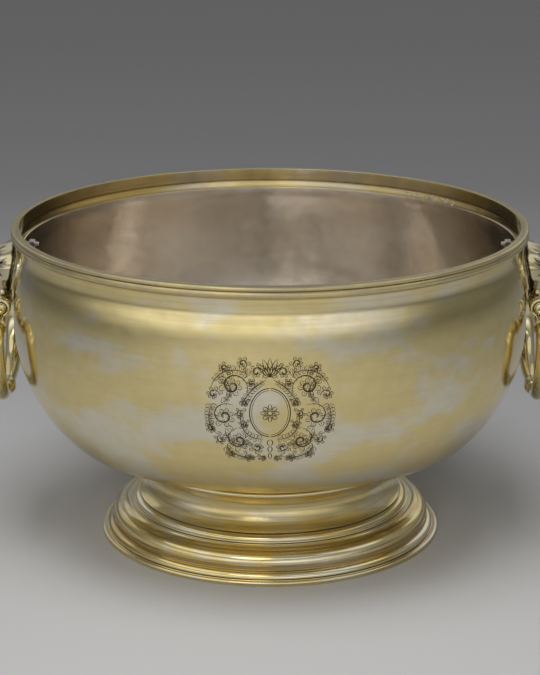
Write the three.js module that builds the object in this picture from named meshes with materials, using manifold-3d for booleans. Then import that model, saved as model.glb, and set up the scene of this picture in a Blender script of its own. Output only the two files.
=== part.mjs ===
import * as THREE from 'three';
import { mergeVertices } from 'three/addons/utils/BufferGeometryUtils.js';
import Module from 'manifold-3d';

const wasm = await Module();
wasm.setup();

// A footed silver-gilt punch bowl with a plain silver liner and two drop handles on lion masks.
// Millimetres, +Z up. The origin is the centre of the foot's underside; the handles lie on +X and -X.

// Fits
const clearance = 0.3;
const segments = 40;
const wallSteps = 4;
const mouldingSteps = 3;
const boreSides = 12;
const nutSides = 6;
const eyeSides = 16;
const plateSides = 24;
const limbSides = 8;
const limbSteps = 32;
const nearestPoints = 0.02;

// Foot, from the table up
const footRadius = 117.9;
const baseRingHeight = 3.6;
const baseRingWidth = 9;
const baseRingRound = 1.6;
const footStep = 3.8;
const ovoloWidth = 4.1;
const ovoloHeight = 4.2;
const bandHeight = 3.6;
const shoulderWidth = 5.6;
const shoulderHeight = 7.6;
const shoulderRise = 2.6;
const shoulderTop = 5.6;
const footWall = 1.8;
const grooveWidth = 2.4;
const beadFillet = 0.9;
const beadWidth = 4.3;
const beadHeight = 4;
const trumpetWaist = 11.6;
const trumpetSpread = 4;
const trumpetSpreadShare = 0.2;
const trumpetPinch = 1;
const trumpetPinchShare = 0.66;
const trumpetHeight = 25.2;
const trumpetTaper = 4;
const trumpetWall = 1.8;
const collarReed = 1.45;
const collarWidth = 5.4;
const collarHeight = 16.1;
const collarFlare = 3.4;

// Bowl wall, from the underside of its floor up to the rim
const floorRadius = 100;
const turnSetBack = 35.5;
const turnRise = 5.4;
const turnSlope = 39.7;
const turnSharpness = 0.9;
const turnReach = 1.5;
const bellyRadius = 174.9;
const bellyRise = 85;
const wallFullness = 46;
const shoulderFullness = 26;
const neckSetBack = 4.9;
const neckRise = 49;
const neckPull = 12;
const rimFlare = 0.8;
const rimFlareRise = 8.4;
const shellWall = 1.5;
const linerWall = 1.2;
const linerDrop = 13.7;

// Rim moulding
const rimHeight = 7.3;
const rimWidth = 3.9;
const rimReed = 2.15;
const rimValleyDepth = 1.1;
const rimValleyHeight = 0.6;
const rimLipRound = 1.8;

// Handle mounts, measured down from the lip and out from the wall
const plateThickness = 2.2;
const plateHalfWidth = 34;
const plateHalfHeight = 20.5;
const plateTaper = 0.42;
const maskDrop = 32.2;
const maskHalfWidth = 25;
const maskHalfHeight = 18.5;
const maskTaper = 0.28;
const maskDome = 14;
const maneLocks = 14;
const maneDepth = 1.4;
const maneFade = 4;
const edgeFade = 8;
const maskRings = 7;
const pivotDrop = 54.7;
const pivotStandOff = 7.6;
const lugRadius = 5.5;
const lugHalfWidth = 17.5;
const jawHalfWidth = 12;
const jawHalfDepth = 5;
const pinRadius = 2;
const pinHeadRadius = 3.4;
const pinHeadThickness = 1.6;

// Studs and nuts that hold each mount through the wall
const studHalfSpacing = 15;
const studDrop = 19.7;
const studRadius = 1.5;
const studDepth = 5;
const studEnd = 2.4;
const nutRadius = 3.2;
const nutThickness = 4;

// Drop handles
const eyeRadius = 7;
const eyeWidth = 8;
const eyeSeat = 4.9;
const bailHalfWidth = 55;
const bailLength = 62.5;
const bailWidestDrop = 23;
const bailNeckReach = 8.2;
const bailNeckDrop = 16;
const bailShoulderRise = 25;
const bailCornerDrop = 23;
const bailCornerReach = 38;
const limbThinRadius = 3.4;
const limbThickRadius = 6.2;
const bailCollarRadius = 5.3;
const bailCollarShare = 0.5;
const bailCollarThickness = 3;
const knopRadius = 7.2;
const knopHalfLength = 6;

// Heights that follow
const footRimBottom = baseRingHeight + clearance;
const ovoloTop = footRimBottom + ovoloHeight;
const bandTop = ovoloTop + bandHeight;
const shoulderCrest = bandTop + shoulderHeight;
const footRimTop = shoulderCrest + shoulderRise;
const beadBottom = footRimTop + clearance;
const beadTop = beadBottom + beadFillet + beadHeight;
const trumpetBottom = beadTop + clearance;
const collarBottom = trumpetBottom + trumpetHeight;
const collarTop = collarBottom + collarHeight;
const floorZ = collarTop + clearance;
const bellyZ = floorZ + bellyRise;
const neckZ = bellyZ + neckRise;
const rimBottom = neckZ + rimFlareRise;
const lipZ = rimBottom + rimHeight;
const linerTop = lipZ - linerDrop;
const maskZ = lipZ - maskDrop;
const pivotZ = lipZ - pivotDrop;
const studZ = lipZ - studDrop;

// Radii that follow
const ovoloRadius = footRadius - footStep;
const bandRadius = ovoloRadius - ovoloWidth;
const shoulderCentre = bandRadius - shoulderWidth;
const footRimInner = shoulderCentre - shoulderTop;
const beadFoot = footRimInner - grooveWidth;
const trumpetBaseRadius = beadFoot - beadFillet - beadWidth;
const trumpetWaistRadius = trumpetBaseRadius - trumpetWaist;
const trumpetTopRadius = trumpetBaseRadius - trumpetTaper;
const collarInner = trumpetTopRadius + clearance;
const collarRadius = collarInner + collarWidth;
const turnRadius = bellyRadius - turnSetBack;
const neckRadius = bellyRadius - neckSetBack;
const rimSeatRadius = neckRadius + rimFlare;

const metal = (color, roughness) => new THREE.MeshStandardMaterial({ color, roughness, metalness: 1 });

function v2(r, z) {
  return new THREE.Vector2(r, z);
}

// A quarter ellipse that bulges out and up from (centre + width, bottom) to (centre, bottom + height).
function quarterRound(centreRadius, bottom, width, height) {
  return new THREE.EllipseCurve(centreRadius, bottom, width, height, 0, Math.PI / 2);
}

// A half circle that bulges outwards between two heights.
function reed(radius, centreZ, size) {
  return new THREE.EllipseCurve(radius, centreZ, size, size, -Math.PI / 2, Math.PI / 2);
}

// The points of several curves and loose points laid end to end, without repeats.
function outline(pieces, steps = mouldingSteps) {
  const points = [];
  for (const piece of pieces) {
    const added = piece.isVector2 ? [piece] : piece.getPoints(steps);
    for (const point of added) {
      const last = points[points.length - 1];
      if (!last || last.distanceTo(point) > nearestPoints) points.push(point.clone());
    }
  }
  return points;
}

// A solid of revolution about +Z from a closed outline in (radius, height), outer side upwards.
function turned(points, closed = true) {
  const profile = points.map((point) => point.clone());
  if (closed) profile.push(points[0].clone());
  const geometry = new THREE.LatheGeometry(profile, segments);
  geometry.rotateX(Math.PI / 2);
  geometry.rotateZ(Math.PI / 2);
  return geometry;
}

// Moves an outline that starts on the axis by a distance towards the hollow that it encloses.
function inward(points, distance) {
  return points.map((point, i) => {
    const before = points[Math.max(i - 1, 0)];
    const after = points[Math.min(i + 1, points.length - 1)];
    const along = after.clone().sub(before).normalize();
    const moved = v2(point.x - along.y * distance, point.y + along.x * distance);
    if (i === 0) moved.x = 0;
    return moved;
  });
}

// The radius of an outline that rises with its index, at one height.
function radiusAt(points, z) {
  for (let i = 1; i < points.length; i += 1) {
    const [a, b] = [points[i - 1], points[i]];
    if (b.y > a.y && z >= a.y && z <= b.y) return a.x + ((b.x - a.x) * (z - a.y)) / (b.y - a.y);
  }
  return points[points.length - 1].x;
}

// An outline up to one height, ending there.
function upTo(points, z) {
  const kept = points.filter((point) => point.y < z - nearestPoints);
  kept.push(v2(radiusAt(points, z), z));
  return kept;
}

// Booleans
function solid(geometry) {
  const bare = geometry.clone();
  bare.deleteAttribute('normal');
  bare.deleteAttribute('uv');
  const merged = mergeVertices(bare, 1e-4);
  const faces = [];
  for (let i = 0; i < merged.index.count; i += 3) {
    const [a, b, c] = [0, 1, 2].map((k) => merged.index.getX(i + k));
    if (a !== b && b !== c && c !== a) faces.push(a, b, c);
  }
  return new wasm.Manifold(
    new wasm.Mesh({
      numProp: 3,
      vertProperties: new Float32Array(merged.attributes.position.array),
      triVerts: new Uint32Array(faces),
    }),
  );
}

function geometryOf(body) {
  const mesh = body.getMesh();
  const geometry = new THREE.BufferGeometry();
  geometry.setAttribute('position', new THREE.BufferAttribute(new Float32Array(mesh.vertProperties), 3));
  geometry.setIndex(new THREE.BufferAttribute(new Uint32Array(mesh.triVerts), 1));
  geometry.computeVertexNormals();
  return geometry;
}

function cut(geometry, tools) {
  const body = tools.reduce((rest, tool) => rest.subtract(solid(tool)), solid(geometry));
  return geometryOf(body);
}

function join(geometries) {
  const [first, ...others] = geometries.map(solid);
  return others.reduce((sum, other) => sum.add(other), first);
}

// A round bar between two places along X.
function barAlongX(radius, from, to, y, z, sides) {
  const geometry = new THREE.CylinderGeometry(radius, radius, to - from, sides);
  geometry.rotateZ(Math.PI / 2);
  geometry.translate((from + to) / 2, y, z);
  return geometry;
}

// A round bar between two places along Y.
function barAlongY(radius, from, to, x, z, sides) {
  const geometry = new THREE.CylinderGeometry(radius, radius, to - from, sides);
  geometry.translate(x, (from + to) / 2, z);
  return geometry;
}

// Bowl outlines
const turnAngle = THREE.MathUtils.degToRad(turnSlope);
const turnPoint = v2(turnRadius, floorZ + turnRise);
const undersidePull = v2(
  turnRadius - (turnRise * turnSharpness) / Math.tan(turnAngle),
  floorZ + turnRise * (1 - turnSharpness),
);
const turnPull = v2(
  turnRadius + Math.cos(turnAngle) * turnRise * turnReach,
  turnPoint.y + Math.sin(turnAngle) * turnRise * turnReach,
);
const bellyPoint = v2(bellyRadius, bellyZ);
const neckPoint = v2(neckRadius, neckZ);
const rimSeat = v2(rimSeatRadius, rimBottom);

const shellOuter = outline([
  v2(0, floorZ),
  new THREE.QuadraticBezierCurve(v2(floorRadius, floorZ), undersidePull, turnPoint),
  new THREE.CubicBezierCurve(turnPoint, turnPull, v2(bellyRadius, bellyPoint.y - wallFullness), bellyPoint),
  new THREE.CubicBezierCurve(
    bellyPoint,
    v2(bellyRadius, bellyPoint.y + shoulderFullness),
    v2(neckRadius, neckPoint.y - neckPull),
    neckPoint,
  ),
  rimSeat,
  v2(rimSeatRadius, lipZ),
], wallSteps);
const shellInner = inward(shellOuter, shellWall);
const linerOuter = inward(shellOuter, shellWall + clearance);
const linerInner = inward(shellOuter, shellWall + clearance + linerWall);

// The wall's outside with a layer of one thickness over it, as a solid to cut with.
function wallWith(layer) {
  return turned([...inward(shellOuter, -layer), v2(0, lipZ)], false);
}

// Studs pass through the mount, the shell and the liner on both sides.
function studHoles() {
  const reach = bellyRadius + maskDome;
  return [-1, 1].map((side) =>
    barAlongX(studRadius + clearance, -reach, reach, side * studHalfSpacing, studZ, boreSides));
}

function bowlShell() {
  const inner = [...shellInner].reverse();
  inner[0] = v2(inner[0].x, lipZ);
  return cut(turned([...shellOuter, ...inner], false), studHoles());
}

function bowlLiner() {
  const inner = upTo(linerInner, linerTop).reverse();
  return cut(turned([...upTo(linerOuter, linerTop), ...inner], false), studHoles());
}

// Two reeds round the outside of the lip, drawn as one moulding.
function rimMoulding() {
  const inner = rimSeatRadius + clearance;
  const outer = inner + rimWidth;
  return turned(outline([
    v2(inner, rimBottom),
    v2(outer - rimReed, rimBottom),
    reed(outer - rimReed, rimBottom + rimReed, rimReed),
    v2(outer - rimValleyDepth, rimBottom + rimReed * 2),
    v2(outer, rimBottom + rimReed * 2 + rimValleyHeight),
    v2(outer, lipZ - rimLipRound),
    quarterRound(outer - rimLipRound, lipZ - rimLipRound, rimLipRound, rimLipRound),
    v2(inner, lipZ),
  ]));
}

// Foot
function footBaseRing() {
  const inner = footRadius - baseRingWidth;
  return turned(outline([
    v2(inner, 0),
    v2(footRadius, 0),
    quarterRound(footRadius - baseRingRound, baseRingHeight - baseRingRound, baseRingRound, baseRingRound),
    v2(inner, baseRingHeight),
  ]));
}

// The stepped rim of the foot: a quarter round, a plain band, a full shoulder and a hollow up to the bead.
function footRim() {
  const outer = outline([
    quarterRound(bandRadius, footRimBottom, ovoloWidth, ovoloHeight),
    v2(bandRadius - footWall / 4, bandTop),
    quarterRound(shoulderCentre, bandTop, shoulderWidth, shoulderHeight),
    new THREE.QuadraticBezierCurve(
      v2(shoulderCentre, shoulderCrest),
      v2(footRimInner + shoulderTop / 3, shoulderCrest),
      v2(footRimInner, footRimTop),
    ),
  ]);
  return turned([
    ...outer,
    v2(trumpetBaseRadius, footRimTop),
    v2(trumpetBaseRadius, footRimTop - footWall),
    v2(shoulderCentre - footWall, shoulderCrest - footWall),
    v2(bandRadius - footWall * 2, bandTop - footWall),
    v2(bandRadius - footWall, footRimBottom),
  ]);
}

function footBead() {
  const inner = trumpetBaseRadius - trumpetWall;
  return turned(outline([
    v2(inner, beadBottom),
    v2(beadFoot, beadBottom),
    v2(beadFoot, beadBottom + beadFillet),
    quarterRound(trumpetBaseRadius, beadBottom + beadFillet, beadWidth, beadHeight),
    v2(inner, beadTop),
  ]));
}

// The spreading stem, with a plain neck that stands inside the collar and meets the bowl.
function footTrumpet() {
  const outer = outline([
    new THREE.CubicBezierCurve(
      v2(trumpetBaseRadius, trumpetBottom),
      v2(trumpetWaistRadius + trumpetSpread, trumpetBottom + trumpetHeight * trumpetSpreadShare),
      v2(trumpetWaistRadius - trumpetPinch, trumpetBottom + trumpetHeight * trumpetPinchShare),
      v2(trumpetTopRadius, collarBottom - clearance),
    ),
    v2(trumpetTopRadius, collarTop),
  ], wallSteps);
  const inner = outer.map((point) => v2(point.x - trumpetWall, point.y)).reverse();
  return turned([...outer, ...inner]);
}

// Two reeds under the bowl and a hollow that opens towards it.
function footCollar() {
  const reedMiddle = collarRadius - collarReed;
  const reeds = [1, 3].map((count) => reed(reedMiddle, collarBottom + collarReed * count, collarReed));
  const reedsTop = collarBottom + collarReed * 4;
  return turned(outline([
    v2(collarInner, collarBottom),
    ...reeds,
    new THREE.QuadraticBezierCurve(
      v2(reedMiddle, reedsTop),
      v2(reedMiddle, collarTop - collarFlare),
      v2(collarRadius + collarFlare, collarTop),
    ),
    v2(collarInner, collarTop),
  ]));
}

// Handle mounts, made for +X
const plateTop = clearance + plateThickness;
const maskSeat = plateTop + clearance;
const pivotX = radiusAt(shellOuter, pivotZ) + pivotStandOff;

// A point on an egg-shaped outline that is broad at the top, at one angle and a share of its size.
function eggPoint(angle, share, halfWidth, halfHeight, taper) {
  const y = share * halfWidth * Math.cos(angle) * (1 + taper * Math.sin(angle));
  return v2(y, maskZ + share * halfHeight * Math.sin(angle));
}

// The plain plate behind the mask: a layer of the wall's own curve inside an egg-shaped outline.
function mountPlate() {
  const corners = [];
  for (let i = 0; i < plateSides; i += 1) {
    const angle = (i / plateSides) * Math.PI * 2;
    corners.push(eggPoint(angle, 1, plateHalfWidth, plateHalfHeight, plateTaper));
  }
  const shape = new THREE.Shape(corners);
  const block = new THREE.ExtrudeGeometry(shape, { depth: bellyRadius, bevelEnabled: false });
  block.rotateX(Math.PI / 2);
  block.rotateZ(Math.PI / 2);
  block.translate(bellyRadius / 2, 0, 0);
  const body = solid(block).intersect(solid(wallWith(plateTop)));
  return cut(geometryOf(body), [wallWith(clearance), ...studHoles()]);
}

// What stands out from the mask's dome, measured from its middle: brow, nose, muzzle, chin,
// then the cheeks, ears and rolled locks in pairs.
const features = [
  { y: 0, z: 8.5, height: 3.5, wide: 10, tall: 4.5 },
  { y: 0, z: 0, height: 5.5, wide: 3.6, tall: 7 },
  { y: 0, z: -7, height: 9, wide: 8.5, tall: 5 },
  { y: 0, z: -14, height: 5, wide: 7.5, tall: 3.5 },
];
const pairedFeatures = [
  { y: 10, z: -1.5, height: 3.5, wide: 4.5, tall: 4.5 },
  { y: 16, z: 11, height: 4.5, wide: 3.8, tall: 3.8 },
  { y: 19, z: -4.5, height: 5.5, wide: 4, tall: 4.5 },
];
for (const feature of pairedFeatures) features.push(feature, { ...feature, y: -feature.y });

// How far the mask stands out from its seat: a dome with the features on it and locks of mane round its edge.
function relief(y, z, share, angle) {
  const dome = maskDome * Math.sqrt(Math.max(1 - share ** 2, 0));
  const bumps = features.reduce((sum, bump) =>
    sum + bump.height * Math.exp(-(((y - bump.y) / bump.wide) ** 2) - ((z - bump.z) / bump.tall) ** 2), 0);
  const mane = maneDepth * Math.cos(maneLocks * angle) * share ** maneFade;
  return dome + (bumps + mane + maneDepth) * (1 - share ** edgeFade);
}

// The face as a closed body: rings of points from the centre out, and a flat back inside the bowl.
function face() {
  const rings = maskRings;
  const spokes = maneLocks * 2;
  const points = [];
  const faces = [];
  const backX = neckRadius / 2;
  const wallAt = (y, z) => Math.sqrt(radiusAt(shellOuter, z) ** 2 - y ** 2) + maskSeat;
  points.push(wallAt(0, maskZ) + relief(0, 0, 0, 0), 0, maskZ);
  for (let ring = 1; ring <= rings; ring += 1) {
    const share = Math.sin((ring / rings) * Math.PI / 2);
    for (let spoke = 0; spoke < spokes; spoke += 1) {
      const angle = (spoke / spokes) * Math.PI * 2;
      const at = eggPoint(angle, share, maskHalfWidth, maskHalfHeight, maskTaper);
      points.push(wallAt(at.x, at.y) + relief(at.x, at.y - maskZ, share, angle), at.x, at.y);
    }
  }
  const lastRing = 1 + (rings - 1) * spokes;
  for (let spoke = 0; spoke < spokes; spoke += 1) {
    const at = 3 * (lastRing + spoke);
    points.push(backX, points[at + 1], points[at + 2]);
  }
  const backCentre = points.length / 3;
  points.push(backX, 0, maskZ);
  for (let spoke = 0; spoke < spokes; spoke += 1) {
    const next = (spoke + 1) % spokes;
    faces.push(0, 1 + spoke, 1 + next);
    for (let ring = 0; ring < rings; ring += 1) {
      const [inner, outer] = [1 + ring * spokes, 1 + (ring + 1) * spokes];
      faces.push(inner + spoke, outer + spoke, outer + next, inner + spoke, outer + next, inner + next);
    }
    faces.push(backCentre, backCentre - spokes + next, backCentre - spokes + spoke);
  }
  const geometry = new THREE.BufferGeometry();
  geometry.setAttribute('position', new THREE.Float32BufferAttribute(points, 3));
  geometry.setIndex(faces);
  return geometry;
}

// The lion mask with the jaw and the lug that carry the pivot pin.
function lionMask() {
  const lug = barAlongY(lugRadius, -lugHalfWidth, lugHalfWidth, pivotX, pivotZ, eyeSides);
  const jawTop = maskZ - maskHalfHeight / 2;
  const jaw = new THREE.BoxGeometry(jawHalfDepth * 2, jawHalfWidth * 2, jawTop - pivotZ);
  jaw.translate(pivotX, 0, (jawTop + pivotZ) / 2);
  const boreHalfLength = lugHalfWidth * 2;
  const bore = barAlongY(pinRadius + clearance, -boreHalfLength, boreHalfLength, pivotX, pivotZ, boreSides);
  const whole = geometryOf(join([face(), lug, jaw]));
  return cut(whole, [wallWith(maskSeat), bore, studHole()]);
}

// Blind holes for the two studs of one mount.
const wallAtStud = Math.sqrt(radiusAt(shellOuter, studZ) ** 2 - studHalfSpacing ** 2);
const studOuterEnd = wallAtStud + maskSeat + studDepth;

function studHole() {
  const bottom = studOuterEnd + clearance;
  const holes = [-1, 1].map((side) =>
    barAlongX(studRadius + clearance, neckRadius / 2, bottom, side * studHalfSpacing, studZ, boreSides));
  return geometryOf(join(holes));
}

// Each stud runs from inside the mask to past its nut, which sits clear of the liner's nearest facet.
const nutHeights = [studZ - nutRadius, studZ, studZ + nutRadius];
const linerFace = Math.min(...nutHeights.map((z) => radiusAt(linerInner, z))) * Math.cos(Math.PI / segments);
const nutSeat = Math.sqrt(linerFace ** 2 - (studHalfSpacing + nutRadius) ** 2) - clearance;

function stud(side) {
  const innerEnd = nutSeat - nutThickness - studEnd;
  return barAlongX(studRadius, innerEnd, studOuterEnd, side * studHalfSpacing, studZ, boreSides);
}

function nut(side) {
  const y = side * studHalfSpacing;
  const blank = barAlongX(nutRadius, nutSeat - nutThickness, nutSeat, y, studZ, nutSides);
  const [from, to] = [nutSeat - nutThickness * 2, nutSeat + nutThickness];
  const bore = barAlongX(studRadius + clearance, from, to, y, studZ, boreSides);
  return cut(blank, [bore]);
}

// The riveted pin, with a head outside each eye of the bail.
const eyeInner = lugHalfWidth + clearance;
const eyeOuter = eyeInner + eyeWidth;

function pivotPin() {
  const headInner = eyeOuter + clearance;
  const headOuter = headInner + pinHeadThickness;
  const geometry = new THREE.LatheGeometry([
    v2(0, -headOuter),
    v2(pinHeadRadius, -headOuter),
    v2(pinHeadRadius, -headInner),
    v2(pinRadius, -headInner),
    v2(pinRadius, headInner),
    v2(pinHeadRadius, headInner),
    v2(pinHeadRadius, headOuter),
    v2(0, headOuter),
  ], boreSides);
  geometry.translate(pivotX, 0, pivotZ);
  return geometry;
}

// The middle line of the bail from one eye down and round to the other, in the plane of the pin.
const eyeMiddle = (eyeInner + eyeOuter) / 2;
const bailBottom = pivotZ - bailLength;

const bailWidestZ = pivotZ - bailWidestDrop;

// From the eye down and out to the shoulder, where the bail is widest.
function bailShoulder(sign) {
  return [
    new THREE.Vector3(pivotX, sign * eyeMiddle, pivotZ - eyeSeat),
    new THREE.Vector3(pivotX, sign * (eyeMiddle + bailNeckReach), pivotZ - bailNeckDrop),
    new THREE.Vector3(pivotX, sign * bailHalfWidth, bailWidestZ + bailShoulderRise),
    new THREE.Vector3(pivotX, sign * bailHalfWidth, bailWidestZ),
  ];
}

// From there round the lower corner to the middle.
function bailCorner(sign) {
  return [
    new THREE.Vector3(pivotX, sign * bailHalfWidth, bailWidestZ),
    new THREE.Vector3(pivotX, sign * bailHalfWidth, bailWidestZ - bailCornerDrop),
    new THREE.Vector3(pivotX, sign * bailCornerReach, bailBottom),
    new THREE.Vector3(pivotX, 0, bailBottom),
  ];
}

function bailPath() {
  const path = new THREE.CurvePath();
  path.add(new THREE.CubicBezierCurve3(...bailShoulder(-1)));
  path.add(new THREE.CubicBezierCurve3(...bailCorner(-1)));
  path.add(new THREE.CubicBezierCurve3(...bailCorner(1).reverse()));
  path.add(new THREE.CubicBezierCurve3(...bailShoulder(1).reverse()));
  return path;
}

// A round bar along a path whose radius changes with the share of the way.
function taperedBar(path, radius, steps, sides) {
  const points = [];
  const faces = [];
  for (let i = 0; i <= steps; i += 1) {
    const at = path.getPoint(i / steps);
    const along = path.getTangent(i / steps);
    const across = new THREE.Vector3(1, 0, 0);
    const up = new THREE.Vector3().crossVectors(along, across);
    for (let k = 0; k < sides; k += 1) {
      const turn = (k / sides) * Math.PI * 2;
      const size = radius(i / steps);
      const point = at.clone();
      point.addScaledVector(across, Math.cos(turn) * size);
      point.addScaledVector(up, Math.sin(turn) * size);
      points.push(point.x, point.y, point.z);
    }
  }
  for (const end of [0, 1]) {
    const at = path.getPoint(end);
    points.push(at.x, at.y, at.z);
  }
  const start = (steps + 1) * sides;
  for (let k = 0; k < sides; k += 1) {
    const next = (k + 1) % sides;
    faces.push(start, next, k);
    for (let i = 0; i < steps; i += 1) {
      const [a, b] = [i * sides, (i + 1) * sides];
      faces.push(a + k, b + next, b + k, a + k, a + next, b + next);
    }
    faces.push(start + 1, steps * sides + k, steps * sides + next);
  }
  const geometry = new THREE.BufferGeometry();
  geometry.setAttribute('position', new THREE.Float32BufferAttribute(points, 3));
  geometry.setIndex(faces);
  return geometry;
}

// Thin under the eyes, full at the lower corners and thin again beside the knop.
function limbRadius(share) {
  const fromMiddle = Math.abs(share - 0.5) * 2;
  const swell = Math.sin(Math.PI * fromMiddle);
  return limbThinRadius + (limbThickRadius - limbThinRadius) * swell;
}

function bail() {
  const bar = taperedBar(bailPath(), limbRadius, limbSteps, limbSides);
  const eyes = [-1, 1].map((side) => {
    const [from, to] = side > 0 ? [eyeInner, eyeOuter] : [-eyeOuter, -eyeInner];
    return barAlongY(eyeRadius, from, to, pivotX, pivotZ, eyeSides);
  });
  const collars = [-1, 1].map((side) => {
    const collar = new THREE.CylinderGeometry(bailCollarRadius, bailCollarRadius, bailCollarThickness, boreSides);
    const line = new THREE.CubicBezierCurve3(...bailShoulder(side));
    const [at, along] = [line.getPoint(bailCollarShare), line.getTangent(bailCollarShare)];
    collar.applyQuaternion(new THREE.Quaternion().setFromUnitVectors(new THREE.Vector3(0, 1, 0), along));
    collar.translate(at.x, at.y, at.z);
    return collar;
  });
  const knop = new THREE.SphereGeometry(1, boreSides, limbSides);
  knop.scale(knopRadius, knopHalfLength, knopRadius);
  knop.translate(pivotX, 0, bailBottom);
  const boreHalfLength = eyeOuter * 2;
  const bore = barAlongY(pinRadius + clearance, -boreHalfLength, boreHalfLength, pivotX, pivotZ, boreSides);
  return cut(geometryOf(join([bar, ...eyes, ...collars, knop])), [bore]);
}

// Assembly
const giltBright = metal(0xc6b783, 0.22);
const giltDeep = metal(0xb39c5e, 0.28);
const giltDark = metal(0x8c7a48, 0.4);
const plainSilver = metal(0xaea899, 0.3);
const nutSilver = metal(0xd0cdc6, 0.25);

function named(name, geometry, material) {
  const mesh = new THREE.Mesh(geometry, material.clone());
  mesh.name = name;
  return mesh;
}

const bowl = new THREE.Group();
bowl.add(named('bowl_shell', bowlShell(), giltBright));
bowl.add(named('bowl_liner', bowlLiner(), plainSilver));
bowl.add(named('rim_moulding', rimMoulding(), giltBright));
bowl.add(named('foot_collar', footCollar(), giltDeep));
bowl.add(named('foot_trumpet', footTrumpet(), giltBright));
bowl.add(named('foot_bead', footBead(), giltDeep));
bowl.add(named('foot_rim', footRim(), giltBright));
bowl.add(named('foot_base_ring', footBaseRing(), giltDeep));

const sides = [
  { side: 'right', turn: 0 },
  { side: 'left', turn: Math.PI },
];
const studs = [
  { place: 'front', sign: -1 },
  { place: 'rear', sign: 1 },
];
for (const { side, turn } of sides) {
  const handle = new THREE.Group();
  handle.rotation.z = turn;
  handle.add(named(`${side}_mount_plate`, mountPlate(), giltBright));
  handle.add(named(`${side}_lion_mask`, lionMask(), giltDark));
  handle.add(named(`${side}_pivot_pin`, pivotPin(), giltDeep));
  handle.add(named(`${side}_bail`, bail(), giltDeep));
  for (const { place, sign } of studs) {
    const seenFromFront = turn === 0 ? sign : -sign;
    handle.add(named(`${side}_${place}_stud`, stud(seenFromFront), nutSilver));
    handle.add(named(`${side}_${place}_nut`, nut(seenFromFront), nutSilver));
  }
  bowl.add(handle);
}

export default bowl;
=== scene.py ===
# %% [markdown]
# # A silver-gilt punch bowl
# A large round bowl for punch stands on a stepped, spreading foot. It has a plain silver liner, a reeded rim
# and two drop handles that hang from cast lion masks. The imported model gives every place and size, in metres,
# with +Z up and the handles on +X and -X. This lesson dresses that frame: finer surfaces from formulas, and
# metals with the wear that two or three centuries of polishing leave.

import math

import bpy
import numpy as np
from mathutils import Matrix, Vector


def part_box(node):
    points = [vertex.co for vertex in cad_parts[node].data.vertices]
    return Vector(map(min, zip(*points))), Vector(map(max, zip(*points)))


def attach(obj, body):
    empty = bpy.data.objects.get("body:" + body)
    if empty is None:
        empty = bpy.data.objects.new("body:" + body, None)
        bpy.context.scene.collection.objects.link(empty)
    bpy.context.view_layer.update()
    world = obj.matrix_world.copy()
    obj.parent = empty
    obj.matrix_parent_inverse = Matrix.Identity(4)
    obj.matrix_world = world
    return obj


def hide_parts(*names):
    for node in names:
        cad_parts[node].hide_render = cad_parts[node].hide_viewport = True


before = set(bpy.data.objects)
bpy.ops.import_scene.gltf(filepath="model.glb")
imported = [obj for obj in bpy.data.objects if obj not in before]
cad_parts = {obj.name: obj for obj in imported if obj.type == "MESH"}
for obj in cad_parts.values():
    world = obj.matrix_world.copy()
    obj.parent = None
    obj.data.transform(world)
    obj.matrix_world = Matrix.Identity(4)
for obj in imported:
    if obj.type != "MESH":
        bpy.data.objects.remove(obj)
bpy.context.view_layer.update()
MM = 0.001

# %% [markdown]
# ## The camera
# A long lens from about a metre and a half keeps the rim's ellipse narrow. The ellipses of the rim and of the
# foot fix how far the camera stands, how high, and how much it looks down. AUTO lays the sensor's 36 mm along
# the taller side of the picture.

# %% Make the camera
CAMERA_DISTANCE, CAMERA_HEIGHT = 1.4658, 0.5661
CAMERA_PITCH = math.radians(16.35)
LENS, SENSOR = 118.23, 36

camera = bpy.data.objects.new("camera", bpy.data.cameras.new("camera"))
camera.data.lens = LENS
camera.data.sensor_width = SENSOR
camera.data.sensor_fit = "AUTO"
camera.location = (0, -CAMERA_DISTANCE, CAMERA_HEIGHT)
camera.rotation_euler = (math.pi / 2 - CAMERA_PITCH, 0, 0)
bpy.context.collection.objects.link(camera)
bpy.context.scene.camera = camera
bpy.context.scene.view_settings.view_transform = "Standard"
print("camera at", tuple(camera.location), "looks down", round(math.degrees(CAMERA_PITCH), 2), "degrees")

# %% [markdown]
# ## Colours and nodes
# Colours are written as sRGB hex values, as a picture shows them, and the renderer wants linear light. One
# function turns one into the other, and one more adds a shader node with its settings and links. A Map Range
# node's inputs are, in order, the value, the two ends of its own range, and the two ends that they become.

# %% Colour and node helpers
def linear(code):
    """Each sRGB channel c becomes c / 12.92 up to 0.04045, and ((c + 0.055) / 1.055) ** 2.4 above it."""
    c = np.array([int(code[i:i + 2], 16) for i in (1, 3, 5)]) / 255
    c = np.where(c <= 0.04045, c / 12.92, ((c + 0.055) / 1.055) ** 2.4)
    return (*c.tolist(), 1.0)


def add(tree, kind, inputs=(), **settings):
    """Adds one shader node. inputs gives for each socket, in order or by name or number, its value, the socket
    that feeds it, or the node whose first output does."""
    made = tree.nodes.new("ShaderNode" + kind)
    for key, value in settings.items():
        setattr(made, key, value)
    for key, value in inputs.items() if isinstance(inputs, dict) else enumerate(inputs):
        if isinstance(value, bpy.types.Node):
            value = value.outputs[0]
        if isinstance(value, bpy.types.NodeSocket):
            tree.links.new(value, made.inputs[key])
        else:
            made.inputs[key].default_value = value
    return made


print("burnished gilding in linear light:", [round(c, 3) for c in linear("#e7d69c")])

# %% [markdown]
# ## The lamps
# Two soft lamps, above and in front, light the floor and lay the bowl's shadow on it. Mirrored rays don't see
# them, because their plain rectangles would shine in every curve of the metal like windows.

# %% Lamps
# A lamp's -Z axis points at AIM: its tilt is atan2(distance sideways, drop), and its turn atan2(-x, y).
AIM = np.array([0, 0, 0.1])

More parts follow.
